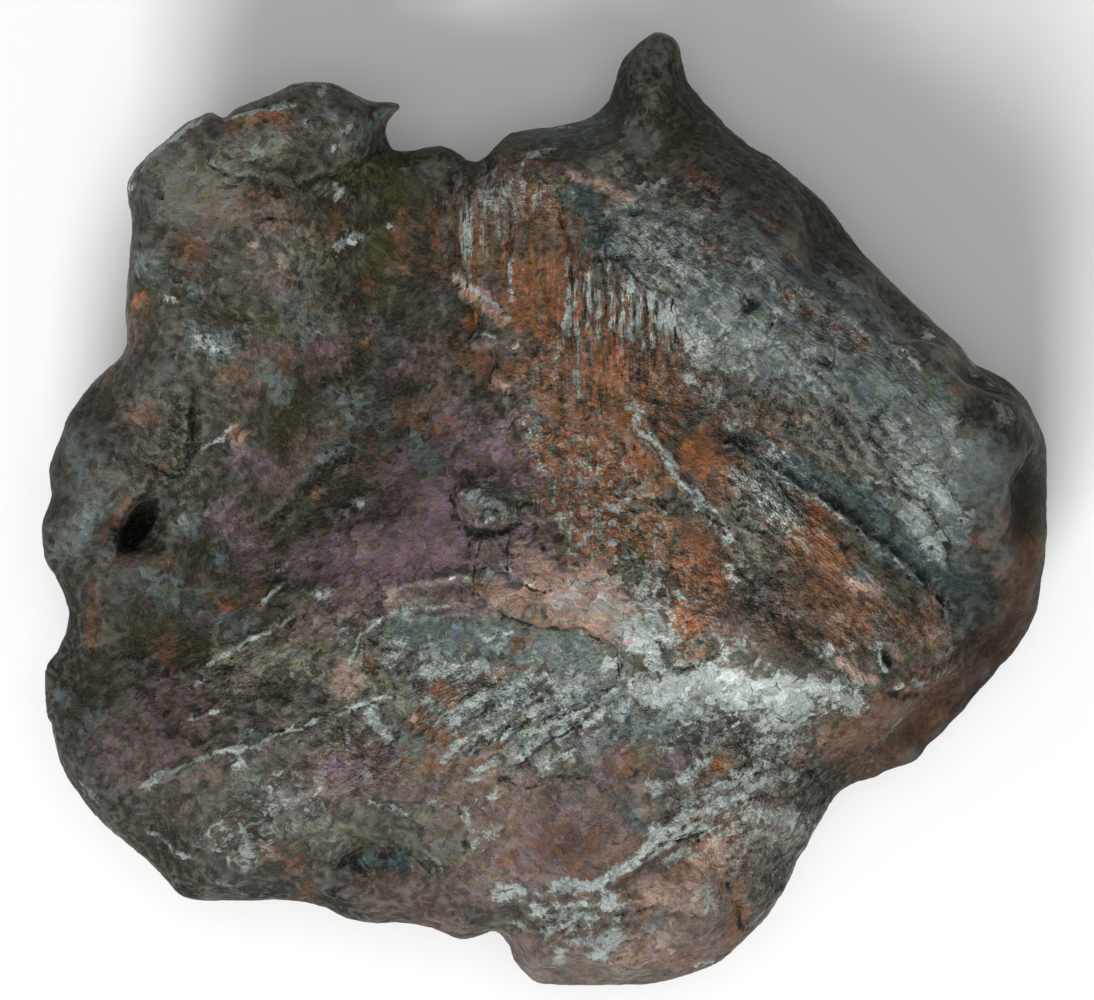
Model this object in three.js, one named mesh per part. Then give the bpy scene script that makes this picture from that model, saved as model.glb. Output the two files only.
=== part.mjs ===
// A torn, weathered iron meteorite, lying on its back. Millimetres, +Z up.
// The origin is under the middle of its footprint, on the surface that it rests on.
import * as THREE from "three";
import { ImprovedNoise } from "three/addons/math/ImprovedNoise.js";

// ---- driving dimensions ----------------------------------------------------------------
const CELL = [2.65, 2.65, 3.3]; // facet size across, along and up
const HALF_SPAN = 64; // the net reaches this far from the middle, each way
const TALLEST = 47; // and from the resting surface up to here
const RIM_STEPS = 4; // straight steps between two outline points
const THINNEST = 3; // least height of the skin above and below the rim
const LUMP_SIZE = 11; // width of the gentle lumps all over the skin
const LUMP_HEIGHT = 1;
const LEDGE_BLEND = 0.9; // half the width over which a ledge drops
const DENT_SIZE = 19; // width of the thumb-like dents of the underside
const DENT_DEPTH = 5;
const HOLLOW_SIZE = 13; // width of the hollows in the steep walls
const HOLLOW_DEPTH = 6;
const COLOUR = 0x5a524a;

// ---- the outline, seen from above --------------------------------------------------------
// Each point is [x, y, height of the rim, how far in from the rim the skin turns over].
const OUTLINE = [
  // horn
  [13.5, 57.5, 15, 5], [16, 57, 15, 5], [17, 55, 15, 5], [17, 52, 15, 6], [19, 49.5, 15, 7],
  // long flank from the horn to the right end
  [22, 46.5, 15, 9], [25, 44, 15, 9], [29.5, 41.5, 16, 9], [33.5, 37, 17, 9], [38.5, 31, 18, 8.5],
  [41, 28, 18, 8], [45, 24, 19, 8], [49.5, 20, 19, 7.5], [52, 17, 19, 7], [55.5, 15.5, 19, 7],
  // right end
  [58.5, 12.5, 19, 7], [60, 9.5, 19, 7], [60.3, 3.5, 18, 7], [60.6, -2, 17, 7], [60.5, -5.5, 16, 7],
  [60.3, -9.5, 15, 8], [58.6, -15, 14, 8], [55.3, -19.5, 13, 8], [51.2, -24, 13, 8], [47.2, -28, 12, 8],
  // step into the foot
  [44.5, -31, 12, 7], [41, -32.5, 12, 7], [35.5, -34.5, 13, 6], [33.5, -38, 13, 6],
  // foot
  [30, -44, 13, 6], [27, -49.5, 12, 6], [23, -53.5, 12, 6], [18, -56, 13, 6], [12, -57, 13, 6],
  [6.5, -57.5, 13, 6], [0.5, -57, 14, 5], [-3, -55.5, 15, 5], [-4, -52, 16, 4],
  // lower edge
  [-5.5, -50.5, 17, 4], [-9.5, -52, 17, 4], [-12.5, -50.5, 17, 4], [-18, -49.5, 18, 4], [-22, -50, 18, 4],
  [-27, -47.5, 18, 5], [-35, -47, 18, 5], [-40.5, -47.5, 17, 5], [-44, -46, 17, 5], [-48, -42, 17, 6],
  [-52.5, -38.5, 17, 6], [-56, -34, 17, 6], [-58, -31, 17, 6], [-59, -27, 17, 6], [-60, -23, 18, 6],
  // left edge, with its torn flap
  [-60, -19.5, 18, 5], [-58, -16, 18, 5], [-57, -12.5, 19, 5], [-58, -8.5, 19, 4], [-60, -6, 20, 4],
  [-60, -3.5, 20, 4], [-59.5, -0.5, 20, 4], [-58.5, 1, 20, 4], [-59, 4.5, 20, 4], [-57.5, 10, 21, 4],
  [-55.5, 13, 21, 5], [-53, 16, 21, 5], [-50, 18.5, 21, 5], [-50, 21, 21, 5], [-50, 24, 21, 5],
  [-49.5, 29.5, 21, 5], [-49, 35.5, 22, 4],
  // thin slab at the top left, and the hook at its end
  [-50, 38, 23, 4], [-47.5, 42, 24, 3.5], [-44.5, 44, 24, 3.5], [-40, 47.5, 24, 3], [-38.5, 47, 24, 3],
  [-35.5, 48, 24, 3], [-30.5, 50, 24, 3], [-26.5, 51, 24, 3], [-23, 49.5, 24, 3], [-20, 48.5, 23, 3],
  [-16.3, 48.8, 22, 3], [-18.3, 45.5, 20, 3],
  // notch and upper edge, back to the horn
  [-18.5, 43.5, 19, 4], [-17, 42.5, 18, 4], [-14.5, 43.5, 18, 4], [-12, 44, 18, 4], [-10, 43, 18, 4],
  [-8, 42, 18, 4], [-6.5, 43, 18, 4], [-5.5, 44.5, 18, 4], [-2, 45.5, 18, 5], [3.5, 46.5, 17, 5],
  [7, 48, 16, 5], [8.5, 51.5, 15, 5], [10.5, 55.5, 15, 5],
];

// ---- how high the upper skin stands: [x, y, z] along its named forms ----------------------
const UPPER_SKIN = {
  topLeftSlab: [[-45.5, 37.5, 30], [-34.5, 43.5, 31], [-23, 44.5, 30.5], [-37, 36.5, 31]],
  stepUnderTheSlab: [[-40.5, 30.5, 29], [-30, 30.5, 29.5], [-23, 35, 26.5]],
  leftPlate: [
    [-44, 22.5, 30], [-34.5, 19, 28.5], [-26.5, 22.5, 25], [-52.5, 9.5, 28], [-43, 7, 27.5],
    [-35, 7, 26], [-55, -1.5, 27], [-56, -6, 25], [-49, -11, 25.5],
  ],
  longValley: [
    [-16.5, 38, 22], [-19, 27.5, 21.5], [-21.5, 15.5, 21.5], [-25.5, 4.5, 22], [-33, -6, 22.5],
    [-44.5, -15.5, 22.5], [-55.5, -21, 21.5],
  ],
  lowerLeft: [
    [-52.5, -30, 25], [-43, -27.5, 27.5], [-34.5, -21.5, 28], [-38.5, -39, 27], [-29, -36.5, 29],
    [-28.5, -27, 30.5],
  ],
  smoothSlope: [
    [-13.5, 11.5, 25.5], [-12.5, 21, 25], [-17, -1.5, 29], [-8.5, 6, 30], [-25.5, -10.5, 28.5],
    [-7.5, -6, 34], [-19.5, -10.5, 31.5],
  ],
  shearScoop: [
    [-7.5, 36.5, 26], [-0.5, 39, 28], [-5, 28, 28.5], [-3, 18.5, 31], [2, 26, 30.5], [6.5, 15, 33],
    [2, 4.5, 34], [9, 1, 35], [17, -6, 36.5], [13.5, 7, 34.5],
  ],
  brow: [[-3, -9.5, 37], [6.5, -13, 38.5], [18, -15, 39.5], [30, -17, 38.5], [38, -18, 35.5]],
  lowerFace: [
    [-11, -16.5, 35], [0.5, -22.5, 35.5], [12.5, -24.5, 36], [25.5, -24.5, 34.5], [-14.5, -29.5, 33],
    [-3, -34, 32.5], [9, -34, 32.5], [18.5, -38, 31], [28, -38, 28], [6.5, -44, 29], [-5, -44, 28.5],
    [-17, -45, 27], [2, -51, 26], [13.5, -51, 26], [23, -44, 26.5],
  ],
  lobeFace: [
    [6.5, 39, 29.5], [12.5, 32.5, 32.5], [17, 25, 35.5], [24, 19, 37.2], [32, 13, 38.3], [40, 7, 38.5],
    [47.5, 0.5, 36.5],
  ],
  lobeCrest: [
    [13.5, 43, 27.5], [18, 40.5, 31.5], [26, 34, 36.5], [35, 26, 39.5], [44, 17.5, 41], [51, 10, 41],
    [54, 2, 38],
  ],
  foldValley: [
    [17, 14, 33], [24, 8.5, 32], [31, 3, 30.5], [39, -3, 29], [46, -9, 28], [51, -13, 26.5],
  ],
  facetBelowTheFold: [
    [22, 4.5, 34], [29, -1.5, 33.2], [37, -7.5, 32.2], [44, -13, 30.5], [26, -7, 35.5], [34, -13, 35],
    [42, -18, 31.5], [31, -15.5, 37],
  ],
  lowerRightFlank: [[49.5, -23, 22], [42, -25, 26.5], [37.5, -30, 24], [54, -11, 27]],
};

// ---- the underside: a worn flat in the middle, rising to the rim ---------------------------
const UNDERSIDE = {
  wornFlat: [
    [0, 0, -3], [-14, 8, -2], [-20, -14, -2], [4, -26, -2], [22, -14, -2], [24, 10, -1.5], [4, 22, -1],
  ],
  rise: [
    [-38, 0, 4], [-34, -32, 5], [-6, -44, 5], [16, -46, 4], [38, -22, 3.5], [46, 2, 4], [34, 26, 4.5],
    [8, 38, 6], [-18, 32, 7], [-32, 24, 8],
  ],
  edge: [
    [-55, -8, 10], [-52, -28, 9], [-30, -45, 10], [54, -8, 6], [14, 52, 9], [-42, 40, 14], [-26, 46, 15],
    [-48, 16, 12], [6, -55, 8],
  ],
};

// ---- ledges in the upper skin: walking along the points, the left side stands higher ---------
const LEDGES = {
  slabStep: {
    drop: 2.4, reach: 4.5,
    points: [[-36, 32], [-31.5, 33], [-26.5, 36.5], [-22, 40], [-18, 44]],
  },
  scoopScarp: {
    drop: 1.8, reach: 4,
    points: [[-11, 39.5], [-9.5, 32.5], [-9, 26.5], [-7, 20], [-5, 13], [-3, 8], [0, 4]],
  },
  lip: {
    drop: 2, reach: 4,
    points: [[-8.5, -9], [-5, -12], [0, -14], [6.5, -14.5], [10, -16.5], [12.5, -18.5]],
  },
  footCrack: {
    drop: 2.4, reach: 4.5,
    points: [[6.5, -44.5], [12, -41.5], [17, -38], [23, -34.5], [26.5, -32]],
  },
  flankGroove: { drop: 2.2, reach: 4, points: [[28.5, -31.5], [36, -27.5], [42.5, -24.5], [49.5, -21.5]] },
  hollowBrow: {
    drop: 2.4, reach: 3.5,
    points: [[-25, -42], [-23, -40], [-19, -39.5], [-15.5, -40.5], [-13, -42.5]],
  },
  cleft: {
    drop: 2, reach: 3,
    points: [[-50, -4.5], [-48, -1.5], [-46.5, 3], [-43, 5], [-41, 8], [-41.5, 13]],
  },
};

// ---- low ridges in the upper skin ------------------------------------------------------------
const RIDGES = {
  lowerLeft: { height: 1.3, reach: 2.2, points: [[-45, -32.5], [-38, -29.5], [-31, -26.5], [-26, -22]] },
  aboveTheFoot: { height: 1.2, reach: 2.4, points: [[5, -40], [12, -37.5], [18.5, -33.5], [26, -29.5]] },
  foldEdge: { height: 1.1, reach: 2.2, points: [[45, -12.5], [38, -7], [30, -1], [23, 4.5], [18, 10]] },
  scoopEdge: { height: 0.9, reach: 2.4, points: [[10, 12], [14, 6], [18, -1], [21, -7]] },
  sheetEdge: { height: 0.8, reach: 2, points: [[-22, -15], [-19.5, -10.5], [-13, -9], [-8, -9.5]] },
};

// ---- knobs (up) and pits (down) in the upper skin: [x, y, radius, height] ----------------------
const KNOBS_AND_PITS = [
  [-6.5, 0, 3.2, 2.4], // knob below the scoop
  [-7.5, 19.5, 1.9, 1.3], // two nodules on the scarp
  [-5, 13.5, 1.9, 1.3],
  [-48.3, -2, 3, -5], // deep hole beside the torn flap
  [-19.5, -42.8, 3.8, -2.6], // hollow near the lower edge
  [-25.5, 3.5, 3.4, -1.6], // darkest part of the long valley
  [39, -17.5, 1.8, -1.2], // small pit in the facet below the fold
  [-30, 31.5, 5.5, 1.2], // swells and hollows of the left plate
  [-45, 17.5, 5.5, 1.4],
  [-36, 23.5, 5, -1.3],
  [-52, 5, 4, 1],
  [-20, -25, 5.5, -1.5], // and of the lower face
  [-8, -26, 5, 1.1],
  [4, -36.5, 6, -1.8],
  [17, -46.5, 4.5, 1.6],
  [13, -31.5, 5, 1],
  [-46, -36.5, 5, -1.2],
  [-33, -37, 5, 1.2],
  [20, -24, 5, -1],
];

/** A smooth surface through named spot heights: z = f(x, y), as a thin plate would bend. */
class ThinPlate {
  constructor(lines) {
    this.spots = Object.values(lines).flat();
    this.weights = solve(this.equations());
  }

  static kernel(dx, dy) {
    const squared = dx * dx + dy * dy;
    return squared < 1e-9 ? 0 : squared * Math.log(squared);
  }

  /** One row a spot, then three that keep the plate's far field flat, each with its right side last. */
  equations() {
    const n = this.spots.length;
    const rows = this.spots.map(([x, y, z]) => [
      ...this.spots.map(([u, v]) => ThinPlate.kernel(x - u, y - v)), 1, x, y, z,
    ]);
    for (const pick of [() => 1, (s) => s[0], (s) => s[1]]) {
      rows.push([...this.spots.map(pick), 0, 0, 0, 0]);
    }
    return { rows, size: n + 3 };
  }

  at(x, y) {
    const n = this.spots.length;
    let z = this.weights[n] + this.weights[n + 1] * x + this.weights[n + 2] * y;
    this.spots.forEach(([u, v], i) => {
      z += this.weights[i] * ThinPlate.kernel(x - u, y - v);
    });
    return z;
  }
}

/** Gaussian elimination with row swaps. */
function solve({ rows, size }) {
  for (let c = 0; c < size; c++) {
    let best = c;
    for (let r = c + 1; r < size; r++) {
      if (Math.abs(rows[r][c]) > Math.abs(rows[best][c])) best = r;
    }
    [rows[c], rows[best]] = [rows[best], rows[c]];
    for (let r = c + 1; r < size; r++) {
      const share = rows[r][c] / rows[c][c];
      for (let k = c; k <= size; k++) rows[r][k] -= share * rows[c][k];
    }
  }
  const found = new Array(size).fill(0);
  for (let r = size - 1; r >= 0; r--) {
    let left = rows[r][size];
    for (let k = r + 1; k < size; k++) left -= rows[r][k] * found[k];
    found[r] = left / rows[r][r];
  }
  return found;
}

/** The rim as a closed run of short straight steps, each { x, y, z, turn }. */
function rimSteps() {
  const curve = new THREE.CatmullRomCurve3(
    OUTLINE.map(([x, y, z]) => new THREE.Vector3(x, y, z)), true, "centripetal",
  );
  const count = OUTLINE.length;
  return OUTLINE.flatMap((point, i) => {
    const next = OUTLINE[(i + 1) % count];
    return Array.from({ length: RIM_STEPS }, (_, k) => {
      const part = k / RIM_STEPS;
      const { x, y, z } = curve.getPoint((i + part) / count);
      return { x, y, z, turn: THREE.MathUtils.lerp(point[3], next[3], part) };
    });
  });
}

const rim = rimSteps();
const upperSkin = new ThinPlate(UPPER_SKIN);
const underside = new ThinPlate(UNDERSIDE);
const noise = new ImprovedNoise();

/** How far (x, y) lies inside the rim, with the rim's own height and turn nearby. */
function rimAt(x, y) {
  let nearest = Infinity;
  let inside = false;
  let weightSum = 0;
  let height = 0;
  let turn = 0;
  rim.forEach((a, i) => {
    const b = rim[(i + 1) % rim.length];
    const [ex, ey] = [b.x - a.x, b.y - a.y];
    const along = ((x - a.x) * ex + (y - a.y) * ey) / (ex * ex + ey * ey);
    const t = THREE.MathUtils.clamp(along, 0, 1);
    const squared = (a.x + t * ex - x) ** 2 + (a.y + t * ey - y) ** 2;
    nearest = Math.min(nearest, squared);
    if (a.y > y !== b.y > y && x < a.x + ((y - a.y) / ey) * ex) inside = !inside;
    const weight = 1 / (squared + 1) ** 2;
    weightSum += weight;
    height += weight * a.z;
    turn += weight * a.turn;
  });
  const distance = Math.sqrt(nearest);
  return { inset: inside ? distance : -distance, height: height / weightSum, turn: turn / weightSum };
}

/** How much the knobs and pits raise the skin at (x, y). */
function knobHeight(x, y) {
  return KNOBS_AND_PITS.reduce((sum, [kx, ky, radius, height]) => {
    const reach = ((x - kx) ** 2 + (y - ky) ** 2) / radius ** 2;
    return sum + height * Math.exp(-(reach ** 1.5));
  }, 0);
}

/** Where (x, y) is beside a line of points: distance squared, signed side (left is +), part along. */
function besideLine(points, x, y) {
  let nearest = { squared: Infinity, side: 0, place: 0 };
  for (let i = 0; i + 1 < points.length; i++) {
    const [ax, ay] = points[i];
    const [ex, ey] = [points[i + 1][0] - ax, points[i + 1][1] - ay];
    const t = THREE.MathUtils.clamp(((x - ax) * ex + (y - ay) * ey) / (ex * ex + ey * ey), 0, 1);
    const squared = (ax + t * ex - x) ** 2 + (ay + t * ey - y) ** 2;
    const side = (ex * (y - ay) - ey * (x - ax)) / Math.hypot(ex, ey);
    if (squared < nearest.squared) nearest = { squared, side, place: (i + t) / (points.length - 1) };
  }
  return nearest;
}

/** How much one ledge raises (on its left) or lowers (on its right) the skin at (x, y). */
function ledgeHeight({ drop, reach, points }, x, y) {
  const { squared, side, place } = besideLine(points, x, y);
  const fade = Math.exp(-squared / reach ** 2) * Math.sqrt(Math.sin(Math.PI * place));
  return 0.5 * drop * Math.tanh(side / LEDGE_BLEND) * fade;
}

/** How much one ridge raises the skin at (x, y). */
function ridgeHeight({ height, reach, points }, x, y) {
  const { squared, place } = besideLine(points, x, y);
  return height * Math.exp(-squared / reach ** 2) * Math.sqrt(Math.sin(Math.PI * place));
}

/** Gentle lumps in two sizes, the same on both faces. */
function lumps(x, y, z) {
  const coarse = noise.noise(x / LUMP_SIZE, y / LUMP_SIZE, z / LUMP_SIZE + 3.7);
  const fine = noise.noise((2 * x) / LUMP_SIZE, (2 * y) / LUMP_SIZE, (2 * z) / LUMP_SIZE + 8.2);
  return LUMP_HEIGHT * (coarse + 0.5 * fine);
}

/** Everything about the stone along the upright line at (x, y). */
function columnAt(x, y) {
  const { inset, height, turn } = rimAt(x, y);
  const dents = DENT_DEPTH * Math.abs(noise.noise(x / DENT_SIZE + 9.1, y / DENT_SIZE + 4.3, 0.5));
  const ledges = Object.values(LEDGES).reduce((sum, ledge) => sum + ledgeHeight(ledge, x, y), 0);
  const ridges = Object.values(RIDGES).reduce((sum, ridge) => sum + ridgeHeight(ridge, x, y), 0);
  const top = upperSkin.at(x, y) + ledges + ridges + knobHeight(x, y);
  const bottom = Math.max(0, underside.at(x, y) + dents);
  return { inset, height, turn, top, bottom };
}

/** Above 0 inside the stone, 0 on its skin: an upright section is two quarter ellipses at the rim. */
function fieldIn(column, x, y, z) {
  const { inset, height, turn, top, bottom } = column;
  const above = z > height;
  const reach = above ? top - height + lumps(x, y, z) : height - bottom;
  const hollow = Math.abs(noise.noise(x / HOLLOW_SIZE, y / HOLLOW_SIZE, z / HOLLOW_SIZE + 5.2));
  const awayFromRim = Math.min(Math.abs(z - height) / 10, 1);
  const outward = Math.max(turn - inset + HOLLOW_DEPTH * hollow * awayFromRim, 0) / turn;
  return 1 - Math.hypot(outward, (z - height) / Math.max(reach, THINNEST));
}

/** Moves a point onto the skin along the field's slope, never far enough to meet its neighbour. */
function settle(point) {
  const step = 0.02;
  const start = point.clone();
  for (let pass = 0; pass < 4; pass++) {
    const { x, y, z } = point;
    const here = columnAt(x, y);
    const value = fieldIn(here, x, y, z);
    const slope = new THREE.Vector3(
      fieldIn(columnAt(x + step, y), x + step, y, z) - value,
      fieldIn(columnAt(x, y + step), x, y + step, z) - value,
      fieldIn(here, x, y, z + step) - value,
    ).divideScalar(step);
    const move = slope.multiplyScalar(-value / Math.max(slope.lengthSq(), 1e-6));
    point.add(move.clampLength(0, CELL[0] / 4));
  }
  point.sub(start).clampLength(0, 0.4 * CELL[0]).add(start);
  if (point.z < step) point.z = 0;
  return point;
}

/** Fills grid points until no two inside points touch only across a diagonal, so the net stays closed. */
function fillDiagonals(values, [nx, ny, nz]) {
  const strides = [1, nx, nx * ny];
  let filled = 1;
  while (filled > 0) {
    filled = 0;
    for (let k = 0; k + 1 < nz; k++) {
      for (let j = 0; j + 1 < ny; j++) {
        for (let i = 0; i + 1 < nx; i++) {
          const base = i + j * nx + k * nx * ny;
          for (const [u, v] of [[0, 1], [1, 2], [2, 0]]) {
            const square = [base, base + strides[u], base + strides[u] + strides[v], base + strides[v]];
            const inside = square.map((n) => values[n] > 0);
            if (inside[0] !== inside[2] || inside[1] !== inside[3] || inside[0] === inside[1]) continue;
            const outer = inside[0] ? [square[1], square[3]] : [square[0], square[2]];
            const nearer = values[outer[0]] > values[outer[1]] ? outer[0] : outer[1];
            values[nearer] = 0.01;
            filled += 1;
          }
        }
      }
    }
  }
}

/** A closed net of facets over the skin: one corner in each cell that the skin crosses. */
function skinGeometry() {
  const spans = [2 * HALF_SPAN, 2 * HALF_SPAN, TALLEST + 2 * CELL[2]];
  const counts = spans.map((span, axis) => Math.ceil(span / CELL[axis]) + 1);
  const [nx, ny, nz] = counts;
  const lowest = [-HALF_SPAN, -HALF_SPAN, -1.4 * CELL[2]];
  const place = (i, j, k) => [i, j, k].map((n, axis) => lowest[axis] + n * CELL[axis]);
  const index = (i, j, k) => (k * ny + j) * nx + i;

  const values = new Float64Array(nx * ny * nz);
  for (let j = 0; j < ny; j++) {
    for (let i = 0; i < nx; i++) {
      const [x, y] = place(i, j, 0);
      const column = columnAt(x, y);
      for (let k = 0; k < nz; k++) values[index(i, j, k)] = fieldIn(column, x, y, place(i, j, k)[2]);
    }
  }
  fillDiagonals(values, counts);

  const corners = [];
  const cornerOf = new Map();
  const cellCorner = (i, j, k) => {
    const key = index(i, j, k);
    if (!cornerOf.has(key)) {
      cornerOf.set(key, corners.length);
      corners.push(crossingsMiddle(i, j, k));
    }
    return cornerOf.get(key);
  };

  function crossingsMiddle(i, j, k) {
    const sum = new THREE.Vector3();
    let found = 0;
    for (let axis = 0; axis < 3; axis++) {
      for (let side = 0; side < 4; side++) {
        const from = [i, j, k];
        from[(axis + 1) % 3] += side & 1;
        from[(axis + 2) % 3] += side >> 1;
        const to = [...from];
        to[axis] += 1;
        const a = values[index(...from)];
        const b = values[index(...to)];
        if (a > 0 === b > 0) continue;
        const start = new THREE.Vector3(...place(...from));
        sum.add(start.lerp(new THREE.Vector3(...place(...to)), a / (a - b)));
        found += 1;
      }
    }
    return settle(sum.divideScalar(found));
  }

  const triangles = [];
  for (let k = 1; k < nz - 1; k++) {
    for (let j = 1; j < ny - 1; j++) {
      for (let i = 1; i < nx - 1; i++) {
        const here = values[index(i, j, k)];
        for (let axis = 0; axis < 3; axis++) {
          const ahead = [i, j, k];
          ahead[axis] += 1;
          const there = values[index(...ahead)];
          if (here > 0 === there > 0) continue;
          const ring = [[0, 0], [1, 0], [1, 1], [0, 1]].map(([u, v]) => {
            const cell = [i, j, k];
            cell[(axis + 1) % 3] -= u;
            cell[(axis + 2) % 3] -= v;
            return cellCorner(...cell);
          });
          if (here <= 0) ring.reverse();
          const [a, b, c, d] = ring;
          const gap = (p, q) => corners[p].distanceToSquared(corners[q]);
          if (gap(a, c) < gap(b, d)) triangles.push(a, b, c, a, c, d);
          else triangles.push(b, c, d, b, d, a);
        }
      }
    }
  }
  const geometry = new THREE.BufferGeometry().setFromPoints(corners).setIndex(triangles);
  geometry.computeVertexNormals();
  return geometry;
}

/** Puts the origin under the middle of the footprint. */
function centred(geometry) {
  geometry.computeBoundingBox();
  const middle = geometry.boundingBox.getCenter(new THREE.Vector3());
  return geometry.translate(-middle.x, -middle.y, 0);
}

const patina = new THREE.MeshStandardMaterial({ color: COLOUR, roughness: 0.55, metalness: 0.6 });
const stone = new THREE.Mesh(centred(skinGeometry()), patina);
stone.name = "meteorite";

const meteorite = new THREE.Group();
meteorite.add(stone);
export default meteorite;
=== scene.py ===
"""A torn, weathered iron meteorite lying on its back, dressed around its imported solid.

The stone is one piece. Its skin starts as a copy of the solid, is refined where detail sits, and is
then carved and tinted from named lists of marks. The marks are placed on a plan of the torn face:
x runs to the right and y runs down, and one plan unit is 0.12 mm on the rim. In each list they run
from the horn over the left side, the scoop and the right side down to the foot.
"""

from __future__ import annotations

import itertools
import logging
import math
from dataclasses import dataclass, field
from enum import Enum

import bpy
import numpy as np
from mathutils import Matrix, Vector


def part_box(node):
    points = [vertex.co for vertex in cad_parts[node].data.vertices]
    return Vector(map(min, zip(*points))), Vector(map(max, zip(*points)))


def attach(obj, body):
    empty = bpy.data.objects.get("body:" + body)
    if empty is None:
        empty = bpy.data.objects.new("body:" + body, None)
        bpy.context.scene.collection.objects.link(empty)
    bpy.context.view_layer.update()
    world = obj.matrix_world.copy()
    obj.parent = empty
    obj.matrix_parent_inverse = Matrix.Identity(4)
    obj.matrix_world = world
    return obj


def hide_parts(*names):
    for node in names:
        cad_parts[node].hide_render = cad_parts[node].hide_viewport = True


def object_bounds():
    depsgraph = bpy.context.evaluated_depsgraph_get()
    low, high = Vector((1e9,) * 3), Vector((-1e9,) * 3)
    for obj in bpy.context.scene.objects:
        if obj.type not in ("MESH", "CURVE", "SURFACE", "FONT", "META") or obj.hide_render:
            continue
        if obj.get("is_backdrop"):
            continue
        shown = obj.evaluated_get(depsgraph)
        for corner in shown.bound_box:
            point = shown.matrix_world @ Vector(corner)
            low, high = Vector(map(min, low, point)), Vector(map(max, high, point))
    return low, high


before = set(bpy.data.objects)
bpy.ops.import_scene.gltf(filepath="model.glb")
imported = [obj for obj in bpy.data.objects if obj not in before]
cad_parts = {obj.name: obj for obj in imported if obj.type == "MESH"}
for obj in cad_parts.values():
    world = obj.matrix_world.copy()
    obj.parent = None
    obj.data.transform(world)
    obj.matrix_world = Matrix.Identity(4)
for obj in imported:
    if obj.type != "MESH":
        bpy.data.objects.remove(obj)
CAD_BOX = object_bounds()

LOG = logging.getLogger("meteorite")
MM = 1e-3
Array = np.ndarray
Socket = bpy.types.NodeSocket
Outputs = bpy.types.NodeOutputs
Colour = tuple[float, float, float]
Feed = Socket | float | Colour
Marks = tuple[tuple[float, ...], ...]


class Tint(Enum):
    """The finishes of the skin, painted shade among them, in the order in which they are laid over each
    other.
    """

    # dark olive patina and painted shade: in the valley, on rims that face away from the light, under the
    # knob
    SHADE = "shade"
    SAND = "sand"
    CLAY = "clay"
    OLIVE = "olive"
    VIOLET = "violet"
    SLATE = "slate"
    TEAL = "teal"
    RUST = "rust"
    SALMON = "salmon"
    EMBER = "ember"
    PALE = "pale"
    DARK = "dark"


class Texture(Enum):
    """The grain of the skin, from place to place."""

    ROUGH = "rough"
    CALM = "calm"
    SHEAR = "shear"
    DRAG = "drag"
    FALL = "fall"


class Trace(Enum):
    """What else the skin keeps for its material."""

    CREST = "crest"
    HOLLOW = "hollow"
    # painted light and shade, and tone, as stops of brightness
    PAINTED_LIGHT_AND_TONE = "weather"
    TURN = "turn"
    DRAWN = "drawn"
    SHORT = "short"


@dataclass(frozen=True)
class Finish:
    """One tint of the patina, or of the painted shade.

    Attributes:
        colour: linear red, green and blue in the middle of a patch.
        rag: how strongly the break-up bites into its edge.
        cell: which of the three cell patterns it follows.
        crispness: how sharply the patch breaks off at its edge.
        metallic: how much bare metal shows in it.
        roughness: of the surface.
        side: how much of the walls and the underside it covers.
        reach: how fully it covers the middle of a mark.
    """

    colour: Colour
    rag: float
    cell: int
    crispness: float
    metallic: float
    roughness: float
    side: float
    reach: float = 1.0


FINISHES: dict[Tint, Finish] = {
    # SHADE is partly dark olive patina and partly painted shade
    Tint.SHADE: Finish((0.022, 0.019, 0.009), 1.0, 0, 1.6, 0.00, 0.62, 0.55),
    Tint.SAND: Finish((0.118, 0.113, 0.088), 1.2, 1, 2.4, 0.05, 0.52, 0.20),
    Tint.CLAY: Finish((0.124, 0.086, 0.070), 1.2, 2, 1.5, 0.03, 0.50, 0.26),
    Tint.OLIVE: Finish((0.033, 0.031, 0.011), 1.2, 2, 2.6, 0.00, 0.60, 0.50),
    Tint.VIOLET: Finish((0.150, 0.106, 0.118), 1.2, 0, 1.3, 0.10, 0.45, 0.12),
    Tint.SLATE: Finish((0.084, 0.104, 0.096), -1.5, 1, 2.0, 0.10, 0.46, 0.26),
    Tint.TEAL: Finish((0.026, 0.043, 0.042), 1.2, 2, 2.2, 0.05, 0.50, 0.16),
    Tint.RUST: Finish((0.128, 0.066, 0.039), 1.9, 2, 2.0, 0.00, 0.60, 0.26, 0.90),
    Tint.SALMON: Finish((0.262, 0.182, 0.146), -1.5, 0, 2.0, 0.05, 0.50, 0.02),
    Tint.EMBER: Finish((0.182, 0.081, 0.042), 1.9, 1, 2.0, 0.00, 0.58, 0.06, 0.92),
    Tint.PALE: Finish((0.266, 0.298, 0.279), -2.2, 2, 2.6, 0.10, 0.40, 0.00, 0.88),
    Tint.DARK: Finish((0.011, 0.010, 0.006), 1.4, 0, 5.0, 0.00, 0.75, 0.05),
}

# ---- the drag lines in the scoop and in the fan below it: x, top and bottom of each --------------
MAIN_LINES: Marks = (
    (462, 190, 285), (568, 262, 330), (589, 268, 330), (612, 264, 326), (631, 270, 340), (652, 282, 345),
    (669, 298, 350),
)
FINE_LINES: Marks = (
    (470, 185, 270), (484, 190, 250), (497, 180, 240), (512, 262, 300), (577, 268, 345), (598, 290, 342),
    (623, 288, 345), (641, 288, 350), (661, 288, 340),
)
FAN_LINES: Marks = (
    (557, 478, 530), (571, 500, 556), (584, 482, 540), (596, 515, 578), (607, 484, 544), (618, 512, 586),
    (631, 536, 600), (645, 552, 604), (657, 526, 570),
)

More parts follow.
